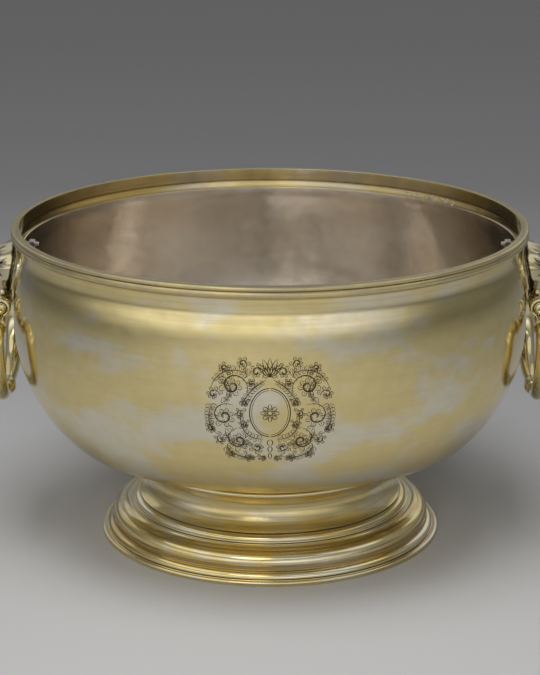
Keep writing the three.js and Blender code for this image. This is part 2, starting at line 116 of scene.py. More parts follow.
for name, place, wide, tall, watts in (
    ("lamp_above", (-0.1, -0.45, 1.9), 1.1, 1.0, 16),
    ("lamp_front", (-0.3, -2.2, 0.8), 1.2, 0.6, 12),
):
    lamp = bpy.data.objects.new(name, bpy.data.lights.new(name, "AREA"))
    lamp.data.shape = "RECTANGLE"
    lamp.data.size, lamp.data.size_y, lamp.data.energy = wide, tall, watts
    lamp.location = place
    x, y, z = AIM - place
    lamp.rotation_euler = (math.atan2(math.hypot(x, y), -z), 0, math.atan2(-x, y))
    lamp.visible_camera = lamp.visible_glossy = False
    bpy.context.collection.objects.link(lamp)
    print(name, "of", watts, "W at", place)

# %% [markdown]
# ## The room in the metal
# Polished metal shows the room more than its own colour, so the room is made with care. The world is a dim
# even level with soft patches of light that depend on direction alone: a wide glow low in front, a narrow strip
# above it, and small patches overhead for the bright streaks in the liner. Matt surfaces take a fifth of it, so
# the floor's shadow stays, and the camera sees a plain level that meets the far floor without an edge.

# %% World
UP = (0, 0, 1)
DIM, CAMERA_LEVEL, MATT_SHARE = 0.17, 0.13, 0.2

world = bpy.data.worlds.new("studio_room")
bpy.context.scene.world = world
world.use_nodes = True
room = world.node_tree
room.nodes.clear()
direction = add(room, "TexCoord").outputs["Generated"]


def soft_patch(toward, none, full, level):
    """A patch of light whose middle is toward. With c the cosine of the angle to it, its strength is level
    times the smooth step 3 t^2 - 2 t^3 of t = (c - none) / (full - none)."""
    unit = np.array(toward, float) / np.linalg.norm(toward)
    cosine = add(room, "VectorMath", (direction, tuple(unit)), operation="DOT_PRODUCT").outputs["Value"]
    return add(room, "MapRange", (cosine, none, full, 0.0, level), interpolation_type="SMOOTHSTEP")


strip = soft_patch(UP, 0.52, 0.57, 1.0)
for part in (soft_patch(UP, 0.68, 0.62, 1.0), soft_patch((-0.15, -1, 0), 0.35, 0.8, 1.0)):
    strip = add(room, "Math", (strip, part), operation="MULTIPLY")
glow = soft_patch((-0.2, -0.95, 0.15), -0.1, 1.0, 1.0)
rise = add(room, "Math", (soft_patch(UP, 0.02, 0.13, 0.65), 0.4), operation="ADD")
for part in (soft_patch(UP, 0.5, 0.1, 1.0), rise):
    glow = add(room, "Math", (glow, part), operation="MULTIPLY")
level = add(room, "Math", (soft_patch(UP, 0.0, 0.4, 0.1), DIM), operation="ADD")
for patch in (
    strip,
    glow,
    soft_patch(UP, 0.8, 0.95, 0.1),
    soft_patch((-0.2, -0.75, 0.62), 0.97, 0.985, 1.2),
    soft_patch((-0.55, -0.2, 0.8), 0.9, 0.93, 0.6),
    soft_patch((0.6, -0.1, 0.8), 0.91, 0.95, 0.5),
    soft_patch((-0.45, 0.7, 0.5), 0.93, 0.95, 0.3),
    soft_patch((0.35, 0.8, 0.45), 0.95, 0.965, 0.35),
):
    level = add(room, "Math", (level, patch), operation="ADD")
rays = add(room, "LightPath").outputs
share = add(room, "Math", (rays["Is Diffuse Ray"], MATT_SHARE - 1, 1.0), operation="MULTIPLY_ADD")
level = add(room, "Math", (level, share), operation="MULTIPLY")
level = add(room, "Mix", {0: rays["Is Camera Ray"], 2: level, 3: CAMERA_LEVEL}, data_type="FLOAT")
sky = add(room, "Background", (linear("#ffffff"), level))
add(room, "OutputWorld", (sky,))
print("the room has", len(room.nodes), "nodes")

# %% [markdown]
# ## The floor
# The bowl stands on a round sheet of matt grey paper. Its colour carries a painted pool of light: it is palest
# under the camera and darkens slowly with the distance from there, as a studio floor does away from its lamps.

# %% Floor
FLOOR_RADIUS, FLOOR_CORNERS = 6, 96
POOL_SHIFT, POOL_PALE, POOL_GREY = (0.0, 1.5, 0.0), 1.0, 2.6

floor_mesh = bpy.data.meshes.new("floor")
ring = np.linspace(0, 2 * np.pi, FLOOR_CORNERS + 1)[:-1]
corners = np.stack([FLOOR_RADIUS * np.cos(ring), FLOOR_RADIUS * np.sin(ring), 0 * ring], -1)
floor_mesh.from_pydata(corners.tolist(), [], [list(range(FLOOR_CORNERS))])
floor = bpy.data.objects.new("floor", floor_mesh)
bpy.context.collection.objects.link(floor)
paper = bpy.data.materials.new("matt_grey_paper")
paper.use_nodes = True
tree = paper.node_tree
tree.nodes.clear()
place = add(tree, "TexCoord").outputs["Object"]
away = add(tree, "VectorMath", (place, POOL_SHIFT), operation="ADD")
away = add(tree, "VectorMath", (away,), operation="LENGTH").outputs["Value"]
# The painted pool of light: the paper's colour fades from pale to grey between these distances.
reach = add(tree, "MapRange", (away, POOL_PALE, POOL_GREY))
tone = add(tree, "Mix", {0: reach, 6: linear("#e8e8e9"), 7: linear("#a2a2a4")}, data_type="RGBA").outputs[2]
skin = add(tree, "BsdfPrincipled", {"Base Color": tone, "Roughness": 0.9})
add(tree, "OutputMaterial", (skin,))
floor_mesh.materials.append(paper)
print("floor:", 2 * FLOOR_RADIUS, "m across")

# %% [markdown]
# ## Surfaces from formulas
# Every piece is one or more closed skins. A skin is a grid of points, worked out as a whole array. Where it
# meets itself, at a seam or a pole, its points coincide and are welded. Most of the bowl is turned: an outline
# in (radius, height) is swung once round +Z.

# %% From a grid to faces
def woven(grid):
    """Joins a grid's points into faces and welds those that coincide to a ten-thousandth of a mm. The sum of
    a . (b x c) over all triangles a, b, c is six times the volume; where it is below zero, the faces turn."""
    rows, columns = grid.shape[:2]
    at = np.arange(rows * columns).reshape(rows, columns)
    quads = np.stack([at[:-1, :-1], at[:-1, 1:], at[1:, 1:], at[1:, :-1]], -1).reshape(-1, 4)
    points, where = np.unique(np.round(grid.reshape(-1, 3), 4), axis=0, return_inverse=True)
    where = where.reshape(-1)
    quads = where[quads]
    same = quads == np.roll(quads, -1, axis=1)
    whole, thin = ~same.any(1), same.sum(1) == 1
    triangles = quads[thin][~same[thin]].reshape(-1, 3)
    quads = quads[whole]
    a, b, c = (points[np.vstack([quads[:, :3], quads[:, [0, 2, 3]], triangles])[:, k]] for k in range(3))
    if np.einsum("ij,ij->", a, np.cross(b, c)) < 0:
        quads, triangles = quads[:, ::-1], triangles[:, ::-1]
    return points, quads, triangles, where


print("4 by 5 points make", len(woven(np.random.default_rng(1).random((4, 5, 3)))[1]), "squares")

# %% From skins to a piece
def piece(name, skins, finish, hollows=None, body="bowl", side=1, crease=40):
    """Builds one object from closed skins in mm, turned half round +Z where side is -1. hollows tells for each
    skin how deep its points lie in a groove, up to 1, or below 0 on an edge, with one column where all are the
    same. Edges of more than crease degrees stay sharp. The name is the replaced node's and one word more."""
    points, faces, marks, start = [], [], [], 0
    for grid, deep in zip(skins, hollows or [0] * len(skins)):
        spots, quads, triangles, where = woven(grid * np.array([side, side, 1]))
        mark = np.zeros(len(spots))
        mark[where] = np.broadcast_to(deep, grid.shape[:2]).reshape(-1)
        points.append(spots)
        marks.append(mark)
        faces += (quads + start).tolist() + (triangles + start).tolist()
        start += len(spots)
    mesh = bpy.data.meshes.new(name)
    mesh.from_pydata((np.vstack(points) * MM).tolist(), [], faces)
    # The hollow attribute darkens grooves with painted shade over their tarnish, and pales edges with wear.
    hollow = mesh.attributes.new("hollow", "FLOAT", "POINT")
    hollow.data.foreach_set("value", np.concatenate(marks).astype(np.float32))
    mesh.shade_smooth()
    mesh.set_sharp_from_angle(angle=math.radians(crease))
    mesh.materials.append(finish)
    made = bpy.data.objects.new(name, mesh)
    bpy.context.collection.objects.link(made)
    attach(made, body)
    node = name.rpartition("_")[0]
    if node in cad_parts:
        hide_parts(node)
    print(f"{name}: {start} points, {len(faces)} faces")


# %% Curves for outlines
def bezier(*handles, steps=24):
    """A Bezier curve: the sum over k of C(n, k) (1 - t)^(n - k) t^k times handle k, for t from 0 to 1."""
    n = len(handles) - 1
    t = np.linspace(0, 1, steps + 1)[:, None]
    return sum(math.comb(n, k) * (1 - t) ** (n - k) * t**k * np.array(handles[k], float) for k in range(n + 1))


def arc(r, z, wide, tall, start, end, steps=16):
    """Part of an ellipse about (r, z): r + wide cos(a), z + tall sin(a), for a from start to end in degrees."""
    a = np.radians(np.linspace(start, end, steps + 1))
    return np.stack([r + wide * np.cos(a), z + tall * np.sin(a)], -1)


def chain(*parts):
    """Lays curves and loose points end to end and drops points that repeat the one before."""
    line = np.vstack([np.atleast_2d(part) for part in parts]).astype(float)
    step = np.hypot(*np.diff(line, axis=0).T)
    return line[np.concatenate([[True], step > 0.01])]


def closed(line):
    """Repeats the first point at the end where the line isn't closed yet."""
    return line if np.allclose(line[0], line[-1]) else np.vstack([line, line[:1]])


print("a quarter round of 5 mm has", len(arc(0, 0, 5, 5, 0, 90)), "points")

# %% Rounded corners
SHARP_TURN = 25


def softened(line, radius=0.3, steps=4):
    """Every corner over 25 degrees becomes the curve (1 - t)^2 a + 2 t (1 - t) p + t^2 b, where a and b lie
    radius before and after the corner p, or less on a short side. Corners on the axis stay."""
    line = line[:-1] if np.allclose(line[0], line[-1]) else line
    into = line - np.roll(line, 1, 0)
    out = np.roll(line, -1, 0) - line
    long_in, long_out = np.hypot(*into.T)[:, None], np.hypot(*out.T)[:, None]
    into, out = into / long_in, out / long_out
    turn = np.degrees(np.arccos(np.clip((into * out).sum(1), -1, 1)))[:, None]
    reach = np.where(turn > SHARP_TURN, np.minimum(radius, 0.45 * np.minimum(long_in, long_out)), 0)
    reach = np.where(line[:, :1] < 0.01, 0, reach)[:, :, None]
    t = np.linspace(0, 1, steps + 1)[None, :, None]
    p = line[:, None]
    curve = (1 - t) ** 2 * (p - into[:, None] * reach) + 2 * t * (1 - t) * p + t**2 * (p + out[:, None] * reach)
    return closed(chain(curve.reshape(-1, 2)))


print("corners over", SHARP_TURN, "degrees are rounded")

# %% Grooves and turning
def grooves(line, reach=1.4):
    """How deep each point lies in a groove: the middle of the two points reach mm before and after it along
    the outline, measured outwards from the point, as a share of reach. It is below zero on an edge."""
    step = np.hypot(*np.diff(line, axis=0).T)
    along = np.concatenate([[0], np.cumsum(step)])
    r, z = line.T
    area = np.sum(r[:-1] * z[1:] - r[1:] * z[:-1])
    before, after = (
        np.stack([np.interp(along + shift, along, c, period=along[-1]) for c in (r, z)], -1)
        for shift in (-reach, reach)
    )
    chord = (after - before) / np.maximum(np.hypot(*(after - before).T)[:, None], 1e-6)
    outwards = np.stack([chord[:, 1], -chord[:, 0]], -1) * np.sign(area)
    depth = (((before + after) / 2 - line) * outwards).sum(1)
    return np.clip(depth / reach * 1.8, -0.85, 0.85)[:, None]


def once_round(columns):
    """The angles of a full turn, whose last is set to the first so that the seam meets exactly."""
    a = np.linspace(0, 2 * np.pi, columns + 1)
    a[-1] = 0
    return a


def turned(line, columns):
    """A body of revolution: (r, z) goes to (r cos a, r sin a, z) for every angle a once round."""
    a = once_round(columns)
    r, z = line[:, :1], line[:, 1:]
    return np.stack([r * np.cos(a), r * np.sin(a), z + 0 * a], -1)


print("8 points, turned, make a grid of", turned(np.ones((8, 2)), 192).shape)

# %% [markdown]
# ## The metals
# Gilding is a thin skin of gold. Where hands and cloths rub, on the open wall and along every edge, the silver
# shows through paler and cooler; in the grooves, where they can't reach, the gold stays and tarnishes brown,
# and painted shade deepens that brown. Burnishing leaves a fine grain that smears reflections up and down. So
# one
# recipe makes every finish: a patchy mix of two colours, thin rings of old polish with a painted reflection of
# the rim in them under the rim, dark hollows of tarnish and painted shade and pale worn edges from the hollow
# attribute, fine grain as bump, and a tangent round +Z that stretches the gloss.

# %% Worn patches
PATCH_SQUEEZE, PATCH_EDGE = 1.9, 0.08
NECK_FROM, NECK_TO = 0.17, 0.2


def flattened(tree, place):
    """The place with its height stretched, so that a noise of it is flatter than it is wide."""
    return add(tree, "Mapping", {"Vector": place, "Scale": (1.0, 1.0, PATCH_SQUEEZE)})


def worn_share(tree, place, patch_mm, wear, neck):
    """How worn a place is: 1 in patches where a noise of patch_mm passes the level that the share wear sets.
    From NECK_FROM to NECK_TO, in metres up, it falls by twice neck."""
    flat, height = flattened(tree, place), add(tree, "SeparateXYZ", (place,)).outputs[2]
    noise = add(tree, "TexNoise", {"Vector": flat, "Scale": 1000 / patch_mm, "Detail": 3.0, "Roughness": 0.55})
    edge = 0.5 + 0.22 * (0.5 - wear)
    ends = (edge - PATCH_EDGE, edge + PATCH_EDGE, 0.0, 1.0)
    share = add(tree, "MapRange", (noise, *ends), interpolation_type="SMOOTHSTEP")
    kept = add(tree, "MapRange", (height, NECK_FROM, NECK_TO, 1.0, 1.0 - 2 * neck))
    return add(tree, "Math", (share, kept), operation="MULTIPLY")


print("patches fade from", NECK_FROM, "to", NECK_TO, "m up")

# %% Rings of old polish, with a painted reflection of the rim
# From RIM_FROM to RIM_TO the rings darken more: a painted reflection of the rim on the neck below it.
RIM_FROM, RIM_TO = 0.185, 0.205


def ring_share(tree, place, streak, neck):
    """How dark thin rings make a place, at most streak, or streak + neck under the rim, where the extra neck is
    a
    painted reflection of the rim: a noise of the point (x, y, 60 (0.7 r + z)) times 9, with r from the axis,
    changes every 2 mm up and slowly round."""
    x, y, z = add(tree, "SeparateXYZ", (place,)).outputs
    out = add(tree, "VectorMath", (place, (1.0, 1.0, 0.0)), operation="MULTIPLY")
    radius = add(tree, "VectorMath", (out,), operation="LENGTH").outputs["Value"]
    across = add(tree, "Math", (radius, 0.7, z), operation="MULTIPLY_ADD")
    across = add(tree, "Math", (across, 60.0), operation="MULTIPLY")
    point = add(tree, "CombineXYZ", (x, y, across))
    rings = add(tree, "TexNoise", {"Vector": point, "Scale": 9.0, "Detail": 3.0, "Roughness": 0.65})
    most = add(tree, "MapRange", (z, RIM_FROM, RIM_TO, streak, streak + neck))
    return add(tree, "MapRange", (rings, 0.46, 0.64, 0.0, most))


print("polish gathers from", RIM_FROM, "to", RIM_TO, "m up")

# %% Metal recipe
# Real burnishing lines lie a tenth of a mm apart or closer. These are coarser, so that they show.
MOTTLE_MM, RIPPLE_PATCH_MM = 9, 55
GRAIN_SCALE = (18.0, 18.0, 1400.0)


def old_metal(
    name, bright, worn, deep, rough, patch_mm, wear, grain, stretch=0.0, ripple_mm=0.0, streak=0.0, neck=0.0
):
    """A metal that mixes bright with worn in patches patch_mm wide, a share wear of them worn, goes deep in the
    hollows with tarnish and painted shade, and pales to worn on the edges. grain is the height of its fine
    lines in hundredths of a mm, and ripple_mm that of the hammer's slow unevenness. stretch smears the gloss up
    and down, streak is how far rings of polish darken it, and neck adds to them under the rim as a painted
    reflection of the rim."""
    finish = bpy.data.materials.new(name)
    finish.use_nodes = True
    tree = finish.node_tree
    tree.nodes.clear()
    place = add(tree, "TexCoord").outputs["Object"]

    spots = {"Vector": place, "Scale": 1000 / MOTTLE_MM, "Detail": 2.0, "Roughness": 0.5}
    mottle = add(tree, "TexNoise", spots)
    hollow = add(tree, "Attribute", attribute_name="hollow").outputs["Fac"]
    patches = worn_share(tree, place, patch_mm, wear, neck)
    layers = [(patches, worn), (add(tree, "MapRange", (mottle, 0.3, 0.7, 0.0, 0.1)), deep)]
    if streak:
        layers.append((ring_share(tree, place, streak, neck), deep))
    # Grooves go deep: tarnish, with painted shade in them. Edges go to the worn colour.
    layers += [(add(tree, "MapRange", (hollow, -0.3, -0.8, 0.0, 0.6)), worn), (hollow, deep)]
    base = linear(bright)
    for share, colour in layers:
        base = add(tree, "Mix", {0: share, 6: base, 7: linear(colour)}, data_type="RGBA").outputs[2]

    lines = add(tree, "Mapping", {"Vector": place, "Scale": GRAIN_SCALE})
    lines = add(tree, "TexNoise", {"Vector": lines, "Scale": 1.0, "Detail": 2.0, "Roughness": 0.6})
    fine = add(tree, "Bump", {"Height": lines, "Strength": 1.0, "Distance": grain * 0.01 * MM})
    spot = {"Vector": flattened(tree, place), "Scale": 1000 / RIPPLE_PATCH_MM, "Detail": 3 * ripple_mm}
    slow = {"Height": add(tree, "TexNoise", spot), "Distance": max(ripple_mm, 0.001) * MM, "Normal": fine}
    skin = {
        "Base Color": base,
        "Metallic": 1.0,
        "Roughness": add(tree, "MapRange", (mottle, 0.3, 0.7, rough * 0.85, rough * 1.2)),
        "Anisotropic": stretch,
        "Anisotropic Rotation": 0.25,
        "Normal": add(tree, "Bump", {**slow, "Strength": 1.0}),
    }
    if stretch:
        skin["Tangent"] = add(tree, "Tangent", direction_type="RADIAL", axis="Z")
    add(tree, "OutputMaterial", (add(tree, "BsdfPrincipled", skin),))
    return finish


print("the grain lies", round(1000 / GRAIN_SCALE[2], 2), "mm apart")

# %% The bowl's metals
# Raised from sheet and burnished by hand: a deep, slightly wavy gloss, with broad patches of silver.
# neck thins the worn patches under the rim and darkens the rings there, the rings as a painted reflection of
# the rim.
burnished_gilding = old_metal(
    "burnished_gilding", "#e7d69c", "#e4dec8", "#a5833e", 0.15, 60, 0.3, 0.15, 0.85, 0.5, streak=0.06, neck=0.12
)
# Spun over a form: fine rings, so the gloss breaks up into bands.
spun_gilding = old_metal("spun_gilding", "#e8d79c", "#e6ddba", "#9f8045", 0.19, 40, 0.25, 0.5, 0.6, streak=0.4)
# Turned in a lathe: crisp mouldings, bright on top, with brown tool lines between.
turned_gilding = old_metal(
    "turned_gilding", "#eedb9c", "#ece4c6", "#a07f42", 0.14, 40, 0.35, 0.5, 0.35, streak=0.6
)
# Drawn wire that every hand has touched: greyer and duller than the wall.
rim_wire = old_metal("drawn_wire_worn", "#dccd9a", "#d0c39c", "#8d7b50", 0.32, 30, 0.5, 0.1, 0.35, streak=0.2)
# Spun sheet silver without gilding: warm grey, and every reflection drawn out into an upright streak.
spun_silver = old_metal("spun_silver", "#e0d8cc", "#dacfbf", "#a39480", 0.2, 60, 0.5, 0.0, 1.0, 1.0)
print("metals:", [m.name for m in bpy.data.materials if m.name != "matt_grey_paper"])

# %% [markdown]
# ## Sizes
# The outlines below repeat the driving sizes of the imported solids, in mm, so the finer surfaces lie on the
# solids. Only the wall's shoulder is up to about a millimetre fuller.

# %% Sizes of the foot
GAP = 0.3
FOOT_RADIUS, BASE_RING_HEIGHT, BASE_RING_WIDTH = 117.9, 3.6, 9.0
OVOLO_RADIUS, OVOLO_HEIGHT = FOOT_RADIUS - 3.8, 4.2
BAND_RADIUS, BAND_HEIGHT = OVOLO_RADIUS - 4.1, 3.6
SHOULDER_CENTRE, SHOULDER_WIDTH, SHOULDER_HEIGHT, SHOULDER_RISE = BAND_RADIUS - 5.6, 5.6, 7.6, 2.6
FOOT_RIM_INNER = SHOULDER_CENTRE - 5.6
BEAD_FOOT = FOOT_RIM_INNER - 2.4
BEAD_FILLET, BEAD_WIDTH, BEAD_HEIGHT = 0.9, 4.3, 4.0
TRUMPET_BASE = BEAD_FOOT - BEAD_FILLET - BEAD_WIDTH
TRUMPET_WAIST, TRUMPET_TOP, TRUMPET_HEIGHT = TRUMPET_BASE - 11.6, TRUMPET_BASE - 4.0, 25.2
COLLAR_INNER, COLLAR_RADIUS = TRUMPET_TOP + GAP, TRUMPET_TOP + GAP + 5.4
COLLAR_REED, COLLAR_HEIGHT, COLLAR_FLARE = 1.45, 16.1, 3.4
print("foot", 2 * FOOT_RADIUS, "mm across, stem", round(2 * TRUMPET_TOP, 1), "mm")

# %% Heights
RIM_FOOT_Z = BASE_RING_HEIGHT + GAP
OVOLO_TOP = RIM_FOOT_Z + OVOLO_HEIGHT
BAND_TOP = OVOLO_TOP + BAND_HEIGHT
SHOULDER_TOP = BAND_TOP + SHOULDER_HEIGHT
FOOT_RIM_TOP = SHOULDER_TOP + SHOULDER_RISE
BEAD_BOTTOM = FOOT_RIM_TOP + GAP
BEAD_TOP = BEAD_BOTTOM + BEAD_FILLET + BEAD_HEIGHT
TRUMPET_BOTTOM = BEAD_TOP + GAP
COLLAR_BOTTOM = TRUMPET_BOTTOM + TRUMPET_HEIGHT
COLLAR_TOP = COLLAR_BOTTOM + COLLAR_HEIGHT
FLOOR_Z = COLLAR_TOP + GAP
BELLY_Z = FLOOR_Z + 85
NECK_Z = BELLY_Z + 49
RIM_BOTTOM = NECK_Z + 8.4
LIP_Z = RIM_BOTTOM + 7.3
LINER_TOP = LIP_Z - 13.7

# %% [markdown]
# ## The bowl's wall
# The wall is raised from sheet: a flat floor, a quick turn, a long curve out to the belly, then in again to a
# short neck. Four Bezier curves draw it. The shell and the liner share that line, each at its own distance
# inside it.

# %% Wall line
BELLY_RADIUS, NECK_RADIUS, RIM_SEAT = 174.9, 170.0, 170.8
TURN = np.array([BELLY_RADIUS - 35.5, FLOOR_Z + 5.4])
SLOPE = math.radians(39.7)
RISING = np.array([math.cos(SLOPE), math.sin(SLOPE)])
BELLY, NECK, SEAT = [BELLY_RADIUS, BELLY_Z], [NECK_RADIUS, NECK_Z], [RIM_SEAT, RIM_BOTTOM]
OUTSIDE = chain(
    [0, FLOOR_Z],
    [50, FLOOR_Z],
    bezier([100, FLOOR_Z], [TURN[0] - 5.4 * 0.9 / math.tan(SLOPE), FLOOR_Z + 0.54], TURN, steps=16),
    bezier(TURN, TURN + 8.1 * RISING, [BELLY_RADIUS, BELLY_Z - 46], BELLY, steps=48),
    bezier(BELLY, [BELLY_RADIUS, BELLY_Z + 40], [NECK_RADIUS - 0.2, NECK_Z - 8], NECK, steps=48),
    bezier(NECK, [NECK_RADIUS, NECK_Z + 3], [RIM_SEAT, RIM_BOTTOM - 3], SEAT, steps=24),
    [RIM_SEAT, LIP_Z],
)
print("belly", BELLY_RADIUS, "mm at", round(BELLY_Z, 1), "and neck", NECK_RADIUS, "mm at", round(NECK_Z, 1))

# %% Lines beside the wall
def inside(line, distance):
    """Each point moves by distance along the normal of the chord between its neighbours, towards the axis."""
    before, after = np.vstack([line[:1], line[:-1]]), np.vstack([line[1:], line[-1:]])
    chord = after - before
    chord /= np.hypot(*chord.T)[:, None]
    moved = line + distance * np.stack([-chord[:, 1], chord[:, 0]], -1)
    moved[0, 0] = 0
    return moved


def wall_radius(z):
    """The radius of the wall's outside at a height."""
    return np.interp(z, OUTSIDE[2:, 1], OUTSIDE[2:, 0])


def cut_at(line, z):
    """The part of a rising line below a height, ended at that height."""
    kept = line[line[:, 1] < z - 0.02]
    return np.vstack([kept, [np.interp(z, line[2:, 1], line[2:, 0]), z]])


print("100 mm up, the wall's radius is", round(float(wall_radius(100)), 1), "mm")

# %% Shell and liner
# A narrow bell, 0.9 exp(-((z - middle) / width)^2), darkens the seam below the rim: dirt in the seam and
# painted shade under the rim's overhang.
SHELL_WALL, LINER_WALL = 1.5, 1.2
SEAM_BELOW_RIM, SEAM_WIDTH = 1.2, 0.55

inner = cut_at(inside(OUTSIDE, SHELL_WALL), LIP_Z - 0.01)
shell_line = softened(np.vstack([OUTSIDE, inner[::-1]]), 0.25)
seam_dirt_and_shade = 0.9 * np.exp(-(((shell_line[:, 1:] - RIM_BOTTOM + SEAM_BELOW_RIM) / SEAM_WIDTH) ** 2))
piece("bowl_shell_raised", [turned(shell_line, 256)], burnished_gilding, [seam_dirt_and_shade])

liner = [cut_at(inside(OUTSIDE, SHELL_WALL + GAP + more), LINER_TOP) for more in (0, LINER_WALL)]
liner_line = softened(np.vstack([liner[0], liner[1][::-1]]), 0.4)
piece("bowl_liner_spun", [turned(liner_line, 256)], spun_silver)

# %% [markdown]
# ## The rim moulding
# A drawn wire of silver is bent round the lip and soldered on. Its two beads, the lower one fuller, meet in a
# narrow valley. The dark line under the rim is the seam where it meets the wall, with dirt in it and painted
# shade from the overhang.

# %% Rim
REED, TOP_BEAD = 2.15, 1.5
rim_in, rim_out = RIM_SEAT + 0.02, RIM_SEAT + GAP + 3.9
rim_line = chain(
    [rim_in, RIM_BOTTOM],
    [rim_out - REED, RIM_BOTTOM],
    arc(rim_out - REED, RIM_BOTTOM + REED, REED, REED, -90, 78),
    [rim_out - 1.25, RIM_BOTTOM + 2 * REED + 0.05],
    arc(rim_out - TOP_BEAD, LIP_Z - TOP_BEAD, TOP_BEAD, TOP_BEAD, -62, 90),
    [rim_in, LIP_Z],
)
rim_line = softened(rim_line, 0.35)
# The valley between the beads is darkened a quarter as much as a groove: painted shade.
piece("rim_moulding_drawn", [turned(rim_line, 256)], rim_wire, [0.25 * grooves(rim_line)])

# %% [markdown]
# ## The foot
# The foot is built up from rings: a flat base wire, a quarter round, a plain band and a full shoulder, then a
# small bead, the hollow trumpet of the stem, and a collar of two reeds under the bowl. Every ring is a closed
# outline, and its grooves are darkened with painted shade over their tarnish.

# %% Base ring and foot rim
SHEET = 1.8


def foot_ring(name, line, finish=turned_gilding, radius=0.3):
    """One ring of the foot from its outline, with rounded corners and grooves darkened by painted shade."""
    line = softened(line, radius)
    piece(name, [turned(line, 224)], finish, [grooves(line)])


base_in = FOOT_RADIUS - BASE_RING_WIDTH
FOOT_RIM_END = [FOOT_RIM_INNER, FOOT_RIM_TOP]
base_line = chain(
    [base_in, 0],
    [FOOT_RADIUS - 0.4, 0],
    [FOOT_RADIUS, 0.5],
    arc(FOOT_RADIUS - 1.6, BASE_RING_HEIGHT - 1.6, 1.6, 1.6, 0, 90),
    [base_in, BASE_RING_HEIGHT],
)
foot_ring("foot_base_ring_wire", base_line)
step_line = chain(
    arc(BAND_RADIUS, RIM_FOOT_Z, 4.1, OVOLO_HEIGHT, 0, 88),
    [BAND_RADIUS - 0.35, OVOLO_TOP + 0.5],
    [BAND_RADIUS - 0.45, BAND_TOP - 0.4],
    arc(SHOULDER_CENTRE, BAND_TOP, SHOULDER_WIDTH, SHOULDER_HEIGHT, 3, 90),
    bezier([SHOULDER_CENTRE, SHOULDER_TOP], [FOOT_RIM_INNER + 1.9, SHOULDER_TOP], FOOT_RIM_END, steps=12),
    [TRUMPET_BASE, FOOT_RIM_TOP],
    [TRUMPET_BASE, FOOT_RIM_TOP - SHEET],
    [SHOULDER_CENTRE - SHEET, SHOULDER_TOP - SHEET],
    [BAND_RADIUS - 2 * SHEET, BAND_TOP - SHEET],
    [BAND_RADIUS - SHEET, RIM_FOOT_Z],
)
foot_ring("foot_rim_stepped", step_line)

# %% Bead, trumpet and collar
bead_line = chain(
    [TRUMPET_BASE - SHEET, BEAD_BOTTOM],
    [BEAD_FOOT, BEAD_BOTTOM],
    [BEAD_FOOT, BEAD_BOTTOM + BEAD_FILLET],
    arc(TRUMPET_BASE, BEAD_BOTTOM + BEAD_FILLET, BEAD_WIDTH, BEAD_HEIGHT, 0, 90),
    [TRUMPET_BASE - SHEET, BEAD_TOP],
)
foot_ring("foot_bead_turned", bead_line, radius=0.2)
trumpet = bezier(
    [TRUMPET_BASE, TRUMPET_BOTTOM],
    [TRUMPET_WAIST + 4, TRUMPET_BOTTOM + TRUMPET_HEIGHT * 0.2],
    [TRUMPET_WAIST - 1, TRUMPET_BOTTOM + TRUMPET_HEIGHT * 0.66],
    [TRUMPET_TOP, COLLAR_BOTTOM - GAP],
    steps=32,
)
trumpet = chain(trumpet, [TRUMPET_TOP, COLLAR_TOP])
trumpet = chain(trumpet, (trumpet - [SHEET, 0])[::-1])
foot_ring("foot_trumpet_spun", trumpet, spun_gilding)
collar_neck = COLLAR_RADIUS - COLLAR_REED
reeds = [arc(collar_neck, COLLAR_BOTTOM + COLLAR_REED * k, COLLAR_REED, COLLAR_REED, -84, 84) for k in (1, 3)]
flare = bezier(
    [collar_neck, COLLAR_BOTTOM + 4 * COLLAR_REED],
    [collar_neck, COLLAR_TOP - COLLAR_FLARE],
    [COLLAR_RADIUS + COLLAR_FLARE, COLLAR_TOP],
    steps=16,
)
collar_line = chain([COLLAR_INNER, COLLAR_BOTTOM], *reeds, flare, [COLLAR_INNER, COLLAR_TOP])
foot_ring("foot_collar_reeded", collar_line, radius=0.2)

# %% [markdown]
# ## Handle mounts
# Each handle hangs from a cast lion mask on a plain egg-shaped plate, both bent to the wall's own curve. An
# angle and a share give a point's place (y, z) inside the egg, and the wall's radius at z gives x. What differs
# is only how far it stands off the wall.

# %% Places on the wall
SIDES = (("right", 1), ("left", -1))
MASK_Z = LIP_Z - 32.2
PLATE_TOP = GAP + 2.2
MASK_SEAT = PLATE_TOP + GAP


def egg(angle, share, half_wide, half_tall, taper):
    """Broad at the top: y = share half_wide cos(a) (1 + taper sin(a)) and z = share half_tall sin(a)."""
    return share * half_wide * np.cos(angle) * (1 + taper * np.sin(angle)), share * half_tall * np.sin(angle)


def off_wall(y, z, distance):
    """The point over (y, z) that lies a distance outside the wall: x = sqrt(R(z)^2 - y^2) + distance."""
    return np.stack([np.sqrt(wall_radius(z) ** 2 - y**2) + distance, y, z], -1)


print("masks at", round(MASK_Z, 1), "mm, their seat", round(MASK_SEAT, 1), "mm off the wall")

# %% Mount plates
# The edge rolls down as a quarter round, and inside it a low ridge follows the outline.
PLATE_WIDE, PLATE_TALL, PLATE_TAPER = 34, 20.5, 0.42
ROLL, RIDGE_IN = 1.4, 3.2

share = np.linspace(0, 1, 25)[:, None]
from_edge = (1 - share) * PLATE_TALL
roll = 0.9 * (1 - np.sqrt(1 - np.clip(1 - from_edge / ROLL, 0, 1) ** 2))
ridge = 0.5 * np.exp(-((from_edge - RIDGE_IN) ** 2))
y, z = egg(once_round(160), share, PLATE_WIDE, PLATE_TALL, PLATE_TAPER)
front = off_wall(y, z + MASK_Z, PLATE_TOP - 0.5 - roll + ridge)
back = off_wall(y, z + MASK_Z, 0.02)
plate = np.concatenate([front, back[::-1]])
for word, side in SIDES:
    piece(f"{word}_mount_plate_cast", [plate], burnished_gilding, side=side)

